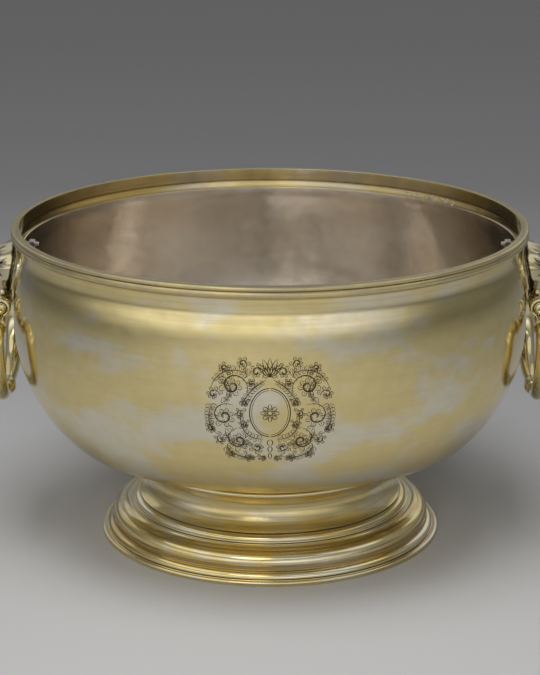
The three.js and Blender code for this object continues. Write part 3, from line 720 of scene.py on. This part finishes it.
# %% [markdown]
# ## The lion masks
# The mask is a relief: a dome, and on it the forms that a chaser works up and sinks in. Soft forms are
# Gaussian hills, eyeballs and ears are spherical caps, rolled locks are caps with a spiral groove, and the mane
# is a wave that runs round the edge. Together they give one height for every point.

# %% Forms of a relief
def hill(y, z, at_y, at_z, wide, tall, lean=0.0):
    """exp(-(u / wide)^2 - (v / tall)^2), where (u, v) is the place from the middle, turned by lean degrees."""
    c, s = math.cos(math.radians(lean)), math.sin(math.radians(lean))
    u, v = (y - at_y) * c + (z - at_z) * s, -(y - at_y) * s + (z - at_z) * c
    return np.exp(-((u / wide) ** 2) - (v / tall) ** 2)


def cap(y, z, at_y, at_z, wide, tall):
    """A spherical cap: sqrt(1 - q^2), where q is the distance from the middle in half widths."""
    return np.sqrt(np.clip(1 - ((y - at_y) / wide) ** 2 - ((z - at_z) / tall) ** 2, 0, None))


def curl(y, z, at_y, at_z, size):
    """A cap with a spiral groove: the groove follows angle + 4 ln(distance)."""
    d = np.hypot(y - at_y, z - at_z) + 0.3
    groove = np.cos(np.arctan2(z - at_z, y - at_y) + 4 * np.log(d))
    return 4.6 * cap(y, z, at_y, at_z, size, size) + 0.55 * groove * np.clip(1 - (d / size) ** 4, 0, 1)


print("one width off, a hill has", round(float(hill(1, 0, 0, 0, 1, 1)), 2), "of its height")

# %% The lion's face
# All in mm from the mask's middle. With far = |y|, a form is on both sides of the face.
MASK_WIDE, MASK_TALL, MASK_TAPER = 25, 18.5, 0.28


def lion(y, z):
    """The relief's height: a dome 13.4 sqrt(1 - q^2), with q the share of the way out to the edge, plus all the
    forms times 1 - q^8."""
    a = np.arctan2(z / MASK_TALL, y / MASK_WIDE)
    q = np.clip(np.hypot(y / (MASK_WIDE * (1 + MASK_TAPER * np.sin(a))), z / MASK_TALL), 0, 1)
    far = np.abs(y)
    # Forehead and brows, then the eyes: socket, ball and a raised lid round it.
    form = 2.0 * hill(far, z, 4.6, 10.2, 4.0, 3.4) + 2.6 * hill(far, z, 7.8, 6.6, 5.2, 1.5, 14)
    form += -3.0 * hill(far, z, 7.4, 2.9, 3.3, 2.0) + 2.3 * cap(far, z, 7.3, 2.8, 2.4, 1.9)
    lid = np.hypot((far - 7.3) / 3.0, (z - 2.8) / 2.1)
    form += 0.7 * np.exp(-(((lid - 1.1) / 0.16) ** 2))
    # The bridge and the tip of the nose, and its nostrils.
    form += 4.4 * hill(y, z, 0, 2.2, 2.5, 6.4) + 3.6 * cap(y, z, 0, -4.4, 4.3, 2.5)
    form -= 1.4 * hill(far, z, 2.3, -5.4, 0.9, 0.7)
    # The muzzle with its cleft, the roots of the whiskers, and the mouth's curved line.
    form += 6.2 * hill(far, z, 4.3, -8.4, 4.4, 3.4) - 1.6 * hill(y, z, 0, -8.8, 0.5, 2.6)
    dots = np.cos(2 * np.pi * far / 1.9) * np.cos(2 * np.pi * (z + 8) / 1.9)
    form -= 0.3 * np.clip(dots, 0, 1) ** 2 * hill(far, z, 5.6, -8.2, 3.0, 2.0)
    form -= 2.4 * np.exp(-(((z + 12.0 - 0.012 * far**2) / 0.75) ** 2)) * np.clip(1.2 - far / 9, 0, 1)
    # Chin and cheeks, the hollowed ears, and a rolled lock beside each cheek.
    form += 3.8 * hill(y, z, 0, -14.8, 5.6, 2.3) + 3.2 * hill(far, z, 11.6, -1.4, 4.0, 4.6)
    form += 4.6 * cap(far, z, 16.2, 11.0, 4.6, 4.4) - 3.2 * cap(far, z, 16.0, 10.6, 2.9, 2.8)
    form += curl(far, z, 19.0, -4.6, 5.2)
    # The mane: broad locks with fine hair in them, all round the face.
    mane = np.clip((q - 0.5) / 0.25, 0, 1) * np.clip((1.02 - q) / 0.2, 0, 1)
    lock = np.cos(14 * a + 3.5 * q) + 0.35 * np.cos(42 * a + 9 * q)
    form += 1.15 * lock * mane * (1 - hill(far, z, 19, -4.6, 5, 5))
    return 13.4 * np.sqrt(np.clip(1 - q**2, 0, None)) + (form + 1.4) * (1 - q**8)


def sunk(y, z, reach=0.9):
    """How far a point lies below the mean of eight points reach mm round it, as a groove from 0 to 1."""
    turns = np.linspace(0, 2 * np.pi, 9)[:-1]
    mean = sum(lion(y + reach * math.cos(t), z + reach * math.sin(t)) for t in turns) / 8
    return np.clip((mean - lion(y, z)) / 0.35, 0, 1)


print("the nose stands", round(float(lion(0, -4.4)), 1), "mm off its seat")

# %% Mask surface
# Cast, then chased with punches: small facets of pale gilding, and dark brown in every deep line, which is
# tarnish and painted shade.
cast_gilding = old_metal("cast_and_chased_gilding", "#dacea4", "#d6cdb4", "#3a2f1a", 0.17, 14, 0.4, 0.1)
share = np.sin(np.linspace(0, 1, 91) * np.pi / 2)[:, None]
y, z = egg(once_round(240), share, MASK_WIDE, MASK_TALL, MASK_TAPER)
front = off_wall(y, z + MASK_Z, MASK_SEAT + lion(y, z))
back = off_wall(y, z + MASK_Z, MASK_SEAT - 0.2)[::-6]
mask = np.concatenate([front, back])
mask_dark = np.concatenate([sunk(y, z), np.zeros(back.shape[:2])])
solid = round(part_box("right_lion_mask")[1][0] * 1000, 1)
print("mask out to x =", round(float(front[..., 0].max()), 1), "mm, the solid to", solid)

# %% [markdown]
# ## Lug and pin
# Under the chin a short tongue carries a barrel, and the handle's two eyes turn on a riveted pin through it.
# The barrel and the pin are bodies of revolution about the pin's line, which runs along Y.

# %% Pieces turned about the pin
pin_low, pin_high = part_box("right_pivot_pin")
PIVOT_X, PIVOT_Z = 500 * (pin_low[0] + pin_high[0]), 500 * (pin_low[2] + pin_high[2])


def mirrored(line):
    """A half outline and its mirror image across y = 0, as one outline."""
    return chain(line, (line * [1, -1])[::-1])


def about_pin(line, columns=48, lobes=0, lobe=0.0, band=(0.0, 0.0)):
    """Turns (radius, y) about the pin's line. Between the two y of band the radius swells by lobe times
    |cos(lobes a / 2)|^0.7 times a half round, which makes a row of beads."""
    a = once_round(columns)
    r, y = line[:, :1], line[:, 1:]
    middle, half = (band[0] + band[1]) / 2, max((band[1] - band[0]) / 2, 1e-6)
    swell = np.sqrt(np.clip(1 - ((y - middle) / half) ** 2, 0, 1)) * lobe * np.abs(np.cos(lobes * a / 2)) ** 0.7
    r = r + swell * (r > 0.1)
    return np.stack([PIVOT_X + r * np.cos(a), y + 0 * a, PIVOT_Z + r * np.sin(a)], -1)


print("pin at x =", round(PIVOT_X, 2), "and z =", round(PIVOT_Z, 2), "mm")

# %% Barrel, tongue and masks
# The tongue's rounds are superellipses, |cos|^0.75 and |sin|^0.75, and its front has three shallow flutes.
half_barrel = chain(
    [[0, -17.5], [4.6, -17.5]],
    arc(4.3, -16.3, 1.2, 1.2, -90, 90),
    [[4.2, -14.8], [4.5, -14.2]],
    arc(4.1, -13.2, 0.9, 0.9, -90, 90),
    [[3.9, -11.8], [4.6, -4], [4.8, 0]],
)
barrel_line = mirrored(softened(half_barrel, 0.2)[:-1])
barrel_dark = grooves(closed(barrel_line), 0.8)[:-1]

down = np.linspace(0, 1, 25)[:, None]
tongue_z = np.linspace(MASK_Z - 8.5, PIVOT_Z - 1.5, 25)[:, None]
a = once_round(64)
wide = 8.2 + 3.4 * np.sin(np.pi * down) ** 2
deep = 5.0 - 1.3 * np.sin(np.pi * down)
out, across = (np.sign(v) * np.abs(v) ** 0.75 for v in (np.cos(a), np.sin(a)))
tongue = np.stack([PIVOT_X + deep * out * (1 + 0.05 * np.cos(6 * a)), wide * across, tongue_z + 0 * a], -1)
ends = [np.broadcast_to(tongue[k, :-1].mean(0), tongue[0].shape)[None] for k in (0, -1)]
tongue = np.concatenate([ends[0], tongue, ends[1]])
# Painted shade: the mask's sunk lines and the barrel's grooves are darkened, and the tongue under the chin a
# little all over.
dark = [mask_dark, barrel_dark, 0.15]
for word, side in SIDES:
    skins = [mask, about_pin(barrel_line), tongue]
    piece(f"{word}_lion_mask_cast", skins, cast_gilding, dark, side=side)

# %% Pins
# Cast, then polished bright with rouge: the yellowest gold and the sharpest gloss.
polished_gilding = old_metal("cast_gilding_polished", "#e4d5a0", "#e6dcba", "#4f3c1a", 0.09, 16, 0.35, 0.1)
EYE_IN, EYE_OUT = 17.8, 25.8
rivet = arc(1.2, EYE_OUT + 0.9, 2.2, 1.0, 90, 0, 8)
pin_line = mirrored(chain([0, EYE_OUT + 1.9], rivet, [3.4, EYE_OUT + 0.3], [2.0, EYE_OUT + 0.3]))
for word, side in SIDES:
    piece(f"{word}_pivot_pin_riveted", [about_pin(pin_line)], polished_gilding, side=side)

# %% [markdown]
# ## Studs and nuts
# Two threaded studs hold each mask through both walls, and a filed nut on each shows bright inside the liner.
# A stud is turned about a line along X, with a wavy outline for its thread. A nut is turned too, and its radius
# is cut to a hexagon's.

# %% Studs and nuts
# Filed by hand and never polished: pale bare silver with a rough, scratched gloss.
filed_silver = old_metal("filed_silver", "#d8d5cc", "#cbc6ba", "#6e6656", 0.3, 5, 0.4, 0.2)
STUD_Z, STUD_Y = LIP_Z - 19.7, 15
STUD_RADIUS, THREAD_PITCH, NUT_ACROSS_CORNERS = 1.5, 0.7, 6.4


def along_x(line, y, columns, sides=0):
    """Turns (radius, x) about a line along X. With sides, the radius at each angle is at most
    apothem / cos(a'), where a' is the angle from the middle of the nearest side."""
    a = once_round(columns)
    r, x = line[:, :1] + 0 * a, line[:, 1:]
    if sides:
        off = (a + np.pi / sides) % (2 * np.pi / sides) - np.pi / sides
        r = np.minimum(r, NUT_ACROSS_CORNERS / 2 * math.cos(math.pi / sides) / np.cos(off))
    return np.stack([x + 0 * a, y + r * np.cos(a), STUD_Z + r * np.sin(a)], -1)


def reach_of(node):
    """The nearest and the farthest x of a solid from the bowl's axis, in mm."""
    low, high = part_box(node)
    return sorted(abs(v) * 1000 for v in (low[0], high[0]))


for word, side in SIDES:
    for end, y in (("front", -side * STUD_Y), ("rear", side * STUD_Y)):
        near, far = reach_of(f"{word}_{end}_stud")
        x = np.linspace(near + 0.5, near + 5, 46)
        thread = np.stack([1.4 + 0.1 * np.cos(2 * np.pi * x / THREAD_PITCH), x], -1)
        line = chain([0, near], [1.1, near], thread, [STUD_RADIUS, near + 6], [STUD_RADIUS, far], [0, far])
        skins = [along_x(line, y, 24)]
        piece(f"{word}_{end}_stud_threaded", skins, filed_silver, side=side)
        near, far = reach_of(f"{word}_{end}_nut")
        line = chain([0, near], [2.7, near], [3.25, near + 0.5], [3.25, far - 0.2], [3.0, far], [0, far])
        skins = [along_x(line, y, 48, 6)]
        piece(f"{word}_{end}_nut_filed", skins, filed_silver, side=side, crease=15)

# %% [markdown]
# ## The drop handles
# A drop handle is a cast loop wide enough for a hand: two eyes, limbs that sweep out to full shoulders, and a
# knop in the middle. A circle is carried along a line of four Bezier curves in one plane, and its radius
# changes with the length s from the middle: a slow swell, with half-round rings for the knop and the collars.

# %% The loop's middle line
EYE_MIDDLE = (EYE_IN + EYE_OUT) / 2
BAIL_BOTTOM = PIVOT_Z - 62.5
WIDEST, WIDEST_Z = 55.0, PIVOT_Z - 23

upper = bezier(
    [EYE_MIDDLE, PIVOT_Z - 4.9],
    [EYE_MIDDLE + 8.2, PIVOT_Z - 16],
    [WIDEST, WIDEST_Z + 25],
    [WIDEST, WIDEST_Z],
    steps=120,
)
lower = bezier([WIDEST, WIDEST_Z], [WIDEST, WIDEST_Z - 23], [38, BAIL_BOTTOM], [0, BAIL_BOTTOM], steps=200)
half_path = chain(upper, lower)
path = np.concatenate([half_path, (half_path[:-1] * [-1, 1])[::-1]])
length = np.concatenate([[0], np.cumsum(np.hypot(*np.diff(path, axis=0).T))])
limb = length[-1] / 2
s = length - limb
print("each half of the loop is", round(limb, 1), "mm long")

# %% The bar's radius
# Each ring is (its place, half its width, its height), in mm along the bar.
KNOP = ((0, 5.2, 2.6), (6.6, 1.0, 1.3), (8.6, 0.7, 0.6))
COLLAR = ((0, 1.4, 1.3), (2.4, 0.8, 0.7), (-2.4, 0.8, 0.7))


def ring_on(s, at, half, height):
    """A half-round ring on the bar: height sqrt(1 - ((|s| - at) / half)^2)."""
    return height * np.sqrt(np.clip(1 - ((np.abs(s) - at) / half) ** 2, 0, 1))


collar_at = limb - np.hypot(*np.diff(upper[:61], axis=0).T).sum()
radius = 3.3 + 2.8 * np.sin(np.pi * np.clip(np.abs(s) / limb, 0, 1))
for first, rings in ((0, KNOP), (collar_at, COLLAR)):
    for at, half, height in rings:
        radius += ring_on(s, first + at, half, height)
# Where the bar dips beside its rings, it is darkened with painted shade.
dips = np.clip((np.convolve(radius, np.ones(9) / 9, "same") - radius) / 0.35, 0, 1)
dips[:6] = dips[-6:] = 0
print("the bar is", round(2 * radius.min(), 1), "to", round(2 * radius.max(), 1), "mm thick")

# %% The bar
# A point is the middle line's, plus radius cos(a) along X, plus radius sin(a) along the line's normal.
along = np.gradient(path, axis=0)
along /= np.hypot(*along.T)[:, None]
normal = np.stack([-along[:, 1], along[:, 0]], -1)
a = once_round(32)
out, across = radius[:, None] * np.cos(a), radius[:, None] * np.sin(a)
bar = np.stack([PIVOT_X + out, path[:, :1] + across * normal[:, :1], path[:, 1:] + across * normal[:, 1:]], -1)
caps = [np.broadcast_to([PIVOT_X, *path[k]], bar[0].shape)[None] for k in (0, -1)]
bar = np.concatenate([caps[0], bar, caps[1]])
bar_dark = np.concatenate([[0], dips, [0]])[:, None]
solid = round(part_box("right_bail")[0][2] * 1000, 1)
print("loop down to", round(BAIL_BOTTOM - float(radius.max()), 1), "mm, the solid to", solid)

# %% Eyes and bails
# The eye is a short drum with rounded rims, a groove in each flat end, and a row of eighteen beads round it.
DRUM, RIM_AT, BEADS = 5.9, 5.6, (EYE_IN + 2.4, EYE_OUT - 2.4)

eye_line = chain(
    [[0, EYE_IN], [3.7, EYE_IN], [4.3, EYE_IN + 0.6], [4.9, EYE_IN], [RIM_AT, EYE_IN]],
    arc(RIM_AT, EYE_IN + 1.0, 1.0, 1.0, -90, 90),
    [DRUM, EYE_IN + 2.3],
    np.stack([np.full(15, DRUM), np.linspace(*BEADS, 15)], -1),
    [DRUM, EYE_OUT - 2.3],
    arc(RIM_AT, EYE_OUT - 1.0, 1.0, 1.0, -90, 90),
    [[RIM_AT, EYE_OUT], [4.9, EYE_OUT], [4.3, EYE_OUT - 0.6], [3.7, EYE_OUT], [0, EYE_OUT]],
)
eye_line = softened(eye_line, 0.2)[:-1]
eye = about_pin(eye_line, 144, 18, 1.1, BEADS)
r, y = eye_line[:, :1], eye_line[:, 1:]
# Painted shade: the beaded band is darkened a little all over, and the groove in each end much more.
eye_dark = np.where((r < 6.0) & (y > EYE_IN + 2) & (y < EYE_OUT - 2), 0.35, 0.0)
eye_dark[(r > 3.8) & (r < 4.8)] = 0.8
dark = [bar_dark, eye_dark, eye_dark]
for word, side in SIDES:
    skins = [bar, eye, eye * [1, -1, 1]]
    piece(f"{word}_bail_cast", skins, polished_gilding, dark, f"{word}_handle", side)

# %% [markdown]
# ## The engraved cartouche
# The front carries an engraving as large as a palm: a plain oval in a double line, with a rosette in it, among
# symmetrical leaf scrolls. An engraver's stroke starts fine, swells as the tool goes deeper and ends fine, and
# the cut is dark: old polish in it, and the shade that falls in it painted on. So each stroke is a sliver with
# three edges, laid on the wall along a curve.
# Real strokes are 0.2 to 0.5 mm wide; the boldest here reach 0.9 mm, so that they show in a small picture.

# %% Strokes
strokes = []


def stroke(points, wide=0.5, blunt=0.6):
    """Keeps one stroke: its points (across, up) in mm and its half widths 0.7 wide sin(pi t)^blunt."""
    points = np.asarray(points, float)
    t = np.linspace(0, 1, len(points))
    strokes.append((points, 0.7 * wide * np.sin(np.pi * t) ** blunt))


def both(points, wide=0.5, blunt=0.6):
    """The same stroke on the right and, mirrored, on the left."""
    stroke(points, wide, blunt)
    stroke(np.asarray(points) * [-1, 1], wide, blunt)


def petal(base, way, middle, bulge, tip, wide, steps):
    """Two curves from base to a point tip mm along way, each bulging to one side about middle mm out."""
    for hand in (-bulge, bulge):
        beside = hand * np.array([-way[1], way[0]])
        stroke(bezier(base, base + middle * way + beside, base + tip * way, steps=steps), wide)


print(len(strokes), "strokes so far")

# %% Leaves and shading
def spots_on(line, first, last, count, hand):
    """Spots along a line: the share of the way, the point, the direction forward and that out to one hand."""
    step = np.gradient(line, axis=0)
    step /= np.hypot(*step.T)[:, None]
    side = np.stack([step[:, 1], -step[:, 0]], -1) * hand
    for at in np.linspace(first, last, count):
        i = int(at * (len(line) - 1))
        yield at, line[i], step[i], side[i]


def leaves(line, count, size, hand, wide=0.34):
    """Leaf lobes along a line, smaller and smaller: from each spot p a curve leans forward (f) and out (o) to
    a tip and comes back, and a short vein runs up the middle."""
    for at, p, f, o in spots_on(line, 0.05, 0.8, count, hand):
        f, o = f * size * (1 - 0.5 * at), o * size * (1 - 0.5 * at)
        tip = p + o + f * 0.75
        both(bezier(p, p + o - f * 0.3, tip, steps=10), wide)
        both(bezier(tip, p + o * 0.4 + f * 0.75, p + f * 0.8, steps=8), wide * 0.75)
        both(bezier(p + f * 0.25, p + o * 0.4 + f * 0.3, p + o * 0.7 + f * 0.5, steps=5), wide * 0.6)


def shading(line, count, size, hand, wide=0.24):
    """Short parallel cuts on one side of a line, as an engraver shades a stem."""
    for at, p, f, o in spots_on(line, 0.06, 0.75, count, hand):
        f, o = f * size, o * size
        both(bezier(p, p + o * 0.5 + f * 0.2, p + o * (1 - 0.4 * at) + f * 0.6, steps=3), wide, 0.4)


print("each leaf takes 3 strokes, and as many on the other side")

# %% Oval and rosette
MIDDLE = np.array([0, -1])
ring = np.linspace(0, 2 * np.pi, 97)


def oval(half_wide, half_tall):
    """Round MIDDLE, clockwise from the top: half_wide sin(a), half_tall cos(a)."""
    return MIDDLE + np.stack([half_wide * np.sin(ring), half_tall * np.cos(ring)], -1)


def facing(degrees):
    """The direction (cos a, sin a)."""
    a = math.radians(degrees)
    return np.array([math.cos(a), math.sin(a)])


for half_wide, half_tall, wide in ((12.6, 16.4, 0.5), (11.3, 15.1, 0.26)):
    for part in (slice(0, 49), slice(48, 97)):
        stroke(oval(half_wide, half_tall)[part], wide, 0.12)
for k in range(8):
    way = facing(45 * k)
    petal(MIDDLE + 1.6 * way, way, 2.6, 2.3, 4.4, 0.4, 12)
    stroke(bezier(MIDDLE + 1.6 * way, MIDDLE + 2.8 * way, MIDDLE + 4.2 * way, steps=4), 0.25)
stroke(oval(1.5, 1.5), 0.4, 0.1)
print(len(strokes), "strokes for the oval and its rosette")

# %% Scrolls
# One row is a scroll's middle, its outer radius, the angle where it starts, its turns, and its leaves' size.
SCROLLS = (
    ((23, 16.5), 10.4, 215, -1.6, 4.6),
    ((28.5, -3.5), 9.4, 130, -1.6, 4.2),
    ((20, -20.5), 9.2, 95, -1.5, 4.2),
    ((8.2, 25.6), 5.4, 235, -1.3, 3.0),
    ((17, 31.2), 4.2, 280, -1.3, 2.6),
    ((28.6, 27.6), 3.6, 250, -1.3, 2.4),
    ((35.2, 10.6), 4.4, 200, -1.3, 2.6),
    ((37.2, -12.6), 3.4, 130, -1.3, 2.4),
    ((31.6, -20.6), 4.0, 120, -1.3, 2.4),
    ((8, -25.4), 4.6, 60, -1.3, 2.8),
    ((13.6, -33), 3.6, 80, -1.3, 2.4),
    ((4.6, -33.4), 2.6, 60, -1.2, 1.8),
    ((15.6, 5.6), 2.8, 170, -1.3, 1.8),
    ((15.4, -9.2), 2.6, 150, -1.3, 1.8),
    ((11.6, 18.4), 2.8, 220, -1.3, 1.8),
    ((18.6, -1.8), 3.4, 160, -1.4, 2.0),
    ((25.6, -31), 3.2, 90, -1.3, 2.2),
)


def scroll(centre, outer, start, turns):
    """A spiral: radius outer 0.13^t at the angle start + 360 turns t degrees."""
    t = np.linspace(0, 1, 25 + int(4 * outer))
    r = outer * 0.13**t
    a = np.radians(start + 360 * turns * t)
    return np.stack([centre[0] + r * np.cos(a), centre[1] + r * np.sin(a)], -1)


for centre, outer, start, turns, size in SCROLLS:
    line = scroll(centre, outer, start, turns)
    both(line, 0.34 + outer / 32, 0.45)
    leaves(line, 6 + int(outer / 2.2), size, -1)
    leaves(line[len(line) // 5:], 3 + int(outer / 3), size * 0.45, 1, 0.24)
    shading(line, 5 + int(outer), size * 0.34, 1)
print(len(SCROLLS), "pairs of scrolls bring it to", len(strokes), "strokes")

# %% Stems between the scrolls
# Each stem is a Bezier curve with leaves on both sides, and fills a gap that the scrolls leave.
STEMS = (
    ((4, -19), (15, -20.5), (21, -10), (17.2, 2)),
    ((17.2, 3), (15, 13), (7, 18), (2, 21)),
    ((12, 23), (22, 31), (34, 25), (36.5, 15)),
    ((36, 4), (40, -4), (39, -12), (33, -17)),
    ((29, -25), (24, -33), (14, -35.5), (7, -32)),
    ((33, 20), (24, 24), (20, 8), (31, 5)),
    ((12, -21), (20, -28), (30, -20), (28, -12)),
)
for stem in STEMS:
    line = bezier(*stem, steps=48)
    both(line, 0.42, 0.4)
    leaves(line, 9, 3.3, -1, 0.26)
    leaves(line, 8, 2.6, 1, 0.24)
print(len(STEMS), "pairs of stems bring it to", len(strokes), "strokes")

# %% Palmette and drops
PALMETTE = np.array([0, 22.5])
for lean in (-2, -1, 0, 1, 2):
    way = facing(90 - 21 * lean)
    petal(PALMETTE, way, 5, 3, 12.5, 0.45, 14)
    stroke(bezier(PALMETTE, PALMETTE + 4 * way, PALMETTE + 9 * way, steps=4), 0.26)
for k in range(3):
    drop = -19.5 - 5.0 * k
    for hand in (-1, 1):
        stroke(bezier([0, drop], [hand * (3.6 - 0.8 * k), drop - 2.2], [0, drop - 5.0], steps=12), 0.45)
reach = np.abs(np.vstack([points for points, _ in strokes])).max(0)
print(len(strokes), "strokes, reaching", np.round(reach, 1), "mm")

# %% Cut the strokes into the wall
# The edges stand LIFT proud of the wall, so that the sliver shows, and its third edge is up to CUT_DEPTH deep.
CARTOUCHE_Z = 139.5
LIFT, CUT_DEPTH = 0.035, 0.25

slivers = []
for points, half in strokes:
    step = np.gradient(points, axis=0)
    step /= np.maximum(np.hypot(*step.T), 1e-9)[:, None]
    across = np.stack([-step[:, 1], step[:, 0]], -1) * half[:, None]
    rows = np.stack([points - across, points + across, points, points - across], 1)
    lift = LIFT - np.stack([0 * half, 0 * half, np.minimum(half, CUT_DEPTH), 0 * half], 1)
    z = CARTOUCHE_Z + rows[..., 1]
    r = wall_radius(z) + lift
    a = -np.pi / 2 + rows[..., 0] / BELLY_RADIUS
    slivers.append(np.stack([r * np.cos(a), r * np.sin(a), z], -1))
# Cut with a graver and never polished inside: rough and nearly black-brown, a colour that holds both old polish
# and the painted shade of the cut.
dark_cut = old_metal("shaded_and_tarnished_cut", "#4a3f28", "#5a4d33", "#2c2416", 0.45, 9, 0.4, 0.3)
piece("cartouche_engraved", slivers, dark_cut, crease=20)

# %% [markdown]
# ## Old solder
# High inside the rim, at the back right, a row of grey specks of solder was never filed away. Each is an egg,
# half sunk in the wall, whose radius is uneven: 1 plus a few sine waves of both angles.

# %% Solder marks
# Run out and left to set: grainy, dull and grey.
solder_grey = old_metal("rough_solder", "#d2c8aa", "#e2dccd", "#7c7058", 0.4, 3, 0.5, 1.5)
SPECKS, FROM_DEGREES, TO_DEGREES = 30, 38, 53

rng = np.random.default_rng(7)
polar = np.linspace(0, np.pi, 13)[:, None]
about = once_round(24)
lumps = []
for a in np.radians(rng.uniform(FROM_DEGREES, TO_DEGREES, SPECKS)):
    size = rng.uniform(0.25, 0.85)
    middle = LINER_TOP + rng.uniform(0.4, 3.6)
    phase = rng.uniform(0, 6, 3)
    uneven = 1 + 0.25 * np.sin(3 * polar + phase[0]) * np.sin(2 * about + phase[1])
    uneven = uneven + 0.12 * np.sin(5 * polar + 4 * about + phase[2]) * np.sin(polar)
    across, up = (size * uneven * np.sin(polar) * wave for wave in (2.2 * np.cos(about), np.sin(about)))
    r = wall_radius(middle) - SHELL_WALL - 0.4 * np.cos(polar) * uneven
    turn = a + across / RIM_SEAT
    lumps.append(np.stack([r * np.cos(turn), r * np.sin(turn), middle + up], -1))
piece("solder_marks", lumps, solder_grey, crease=60)
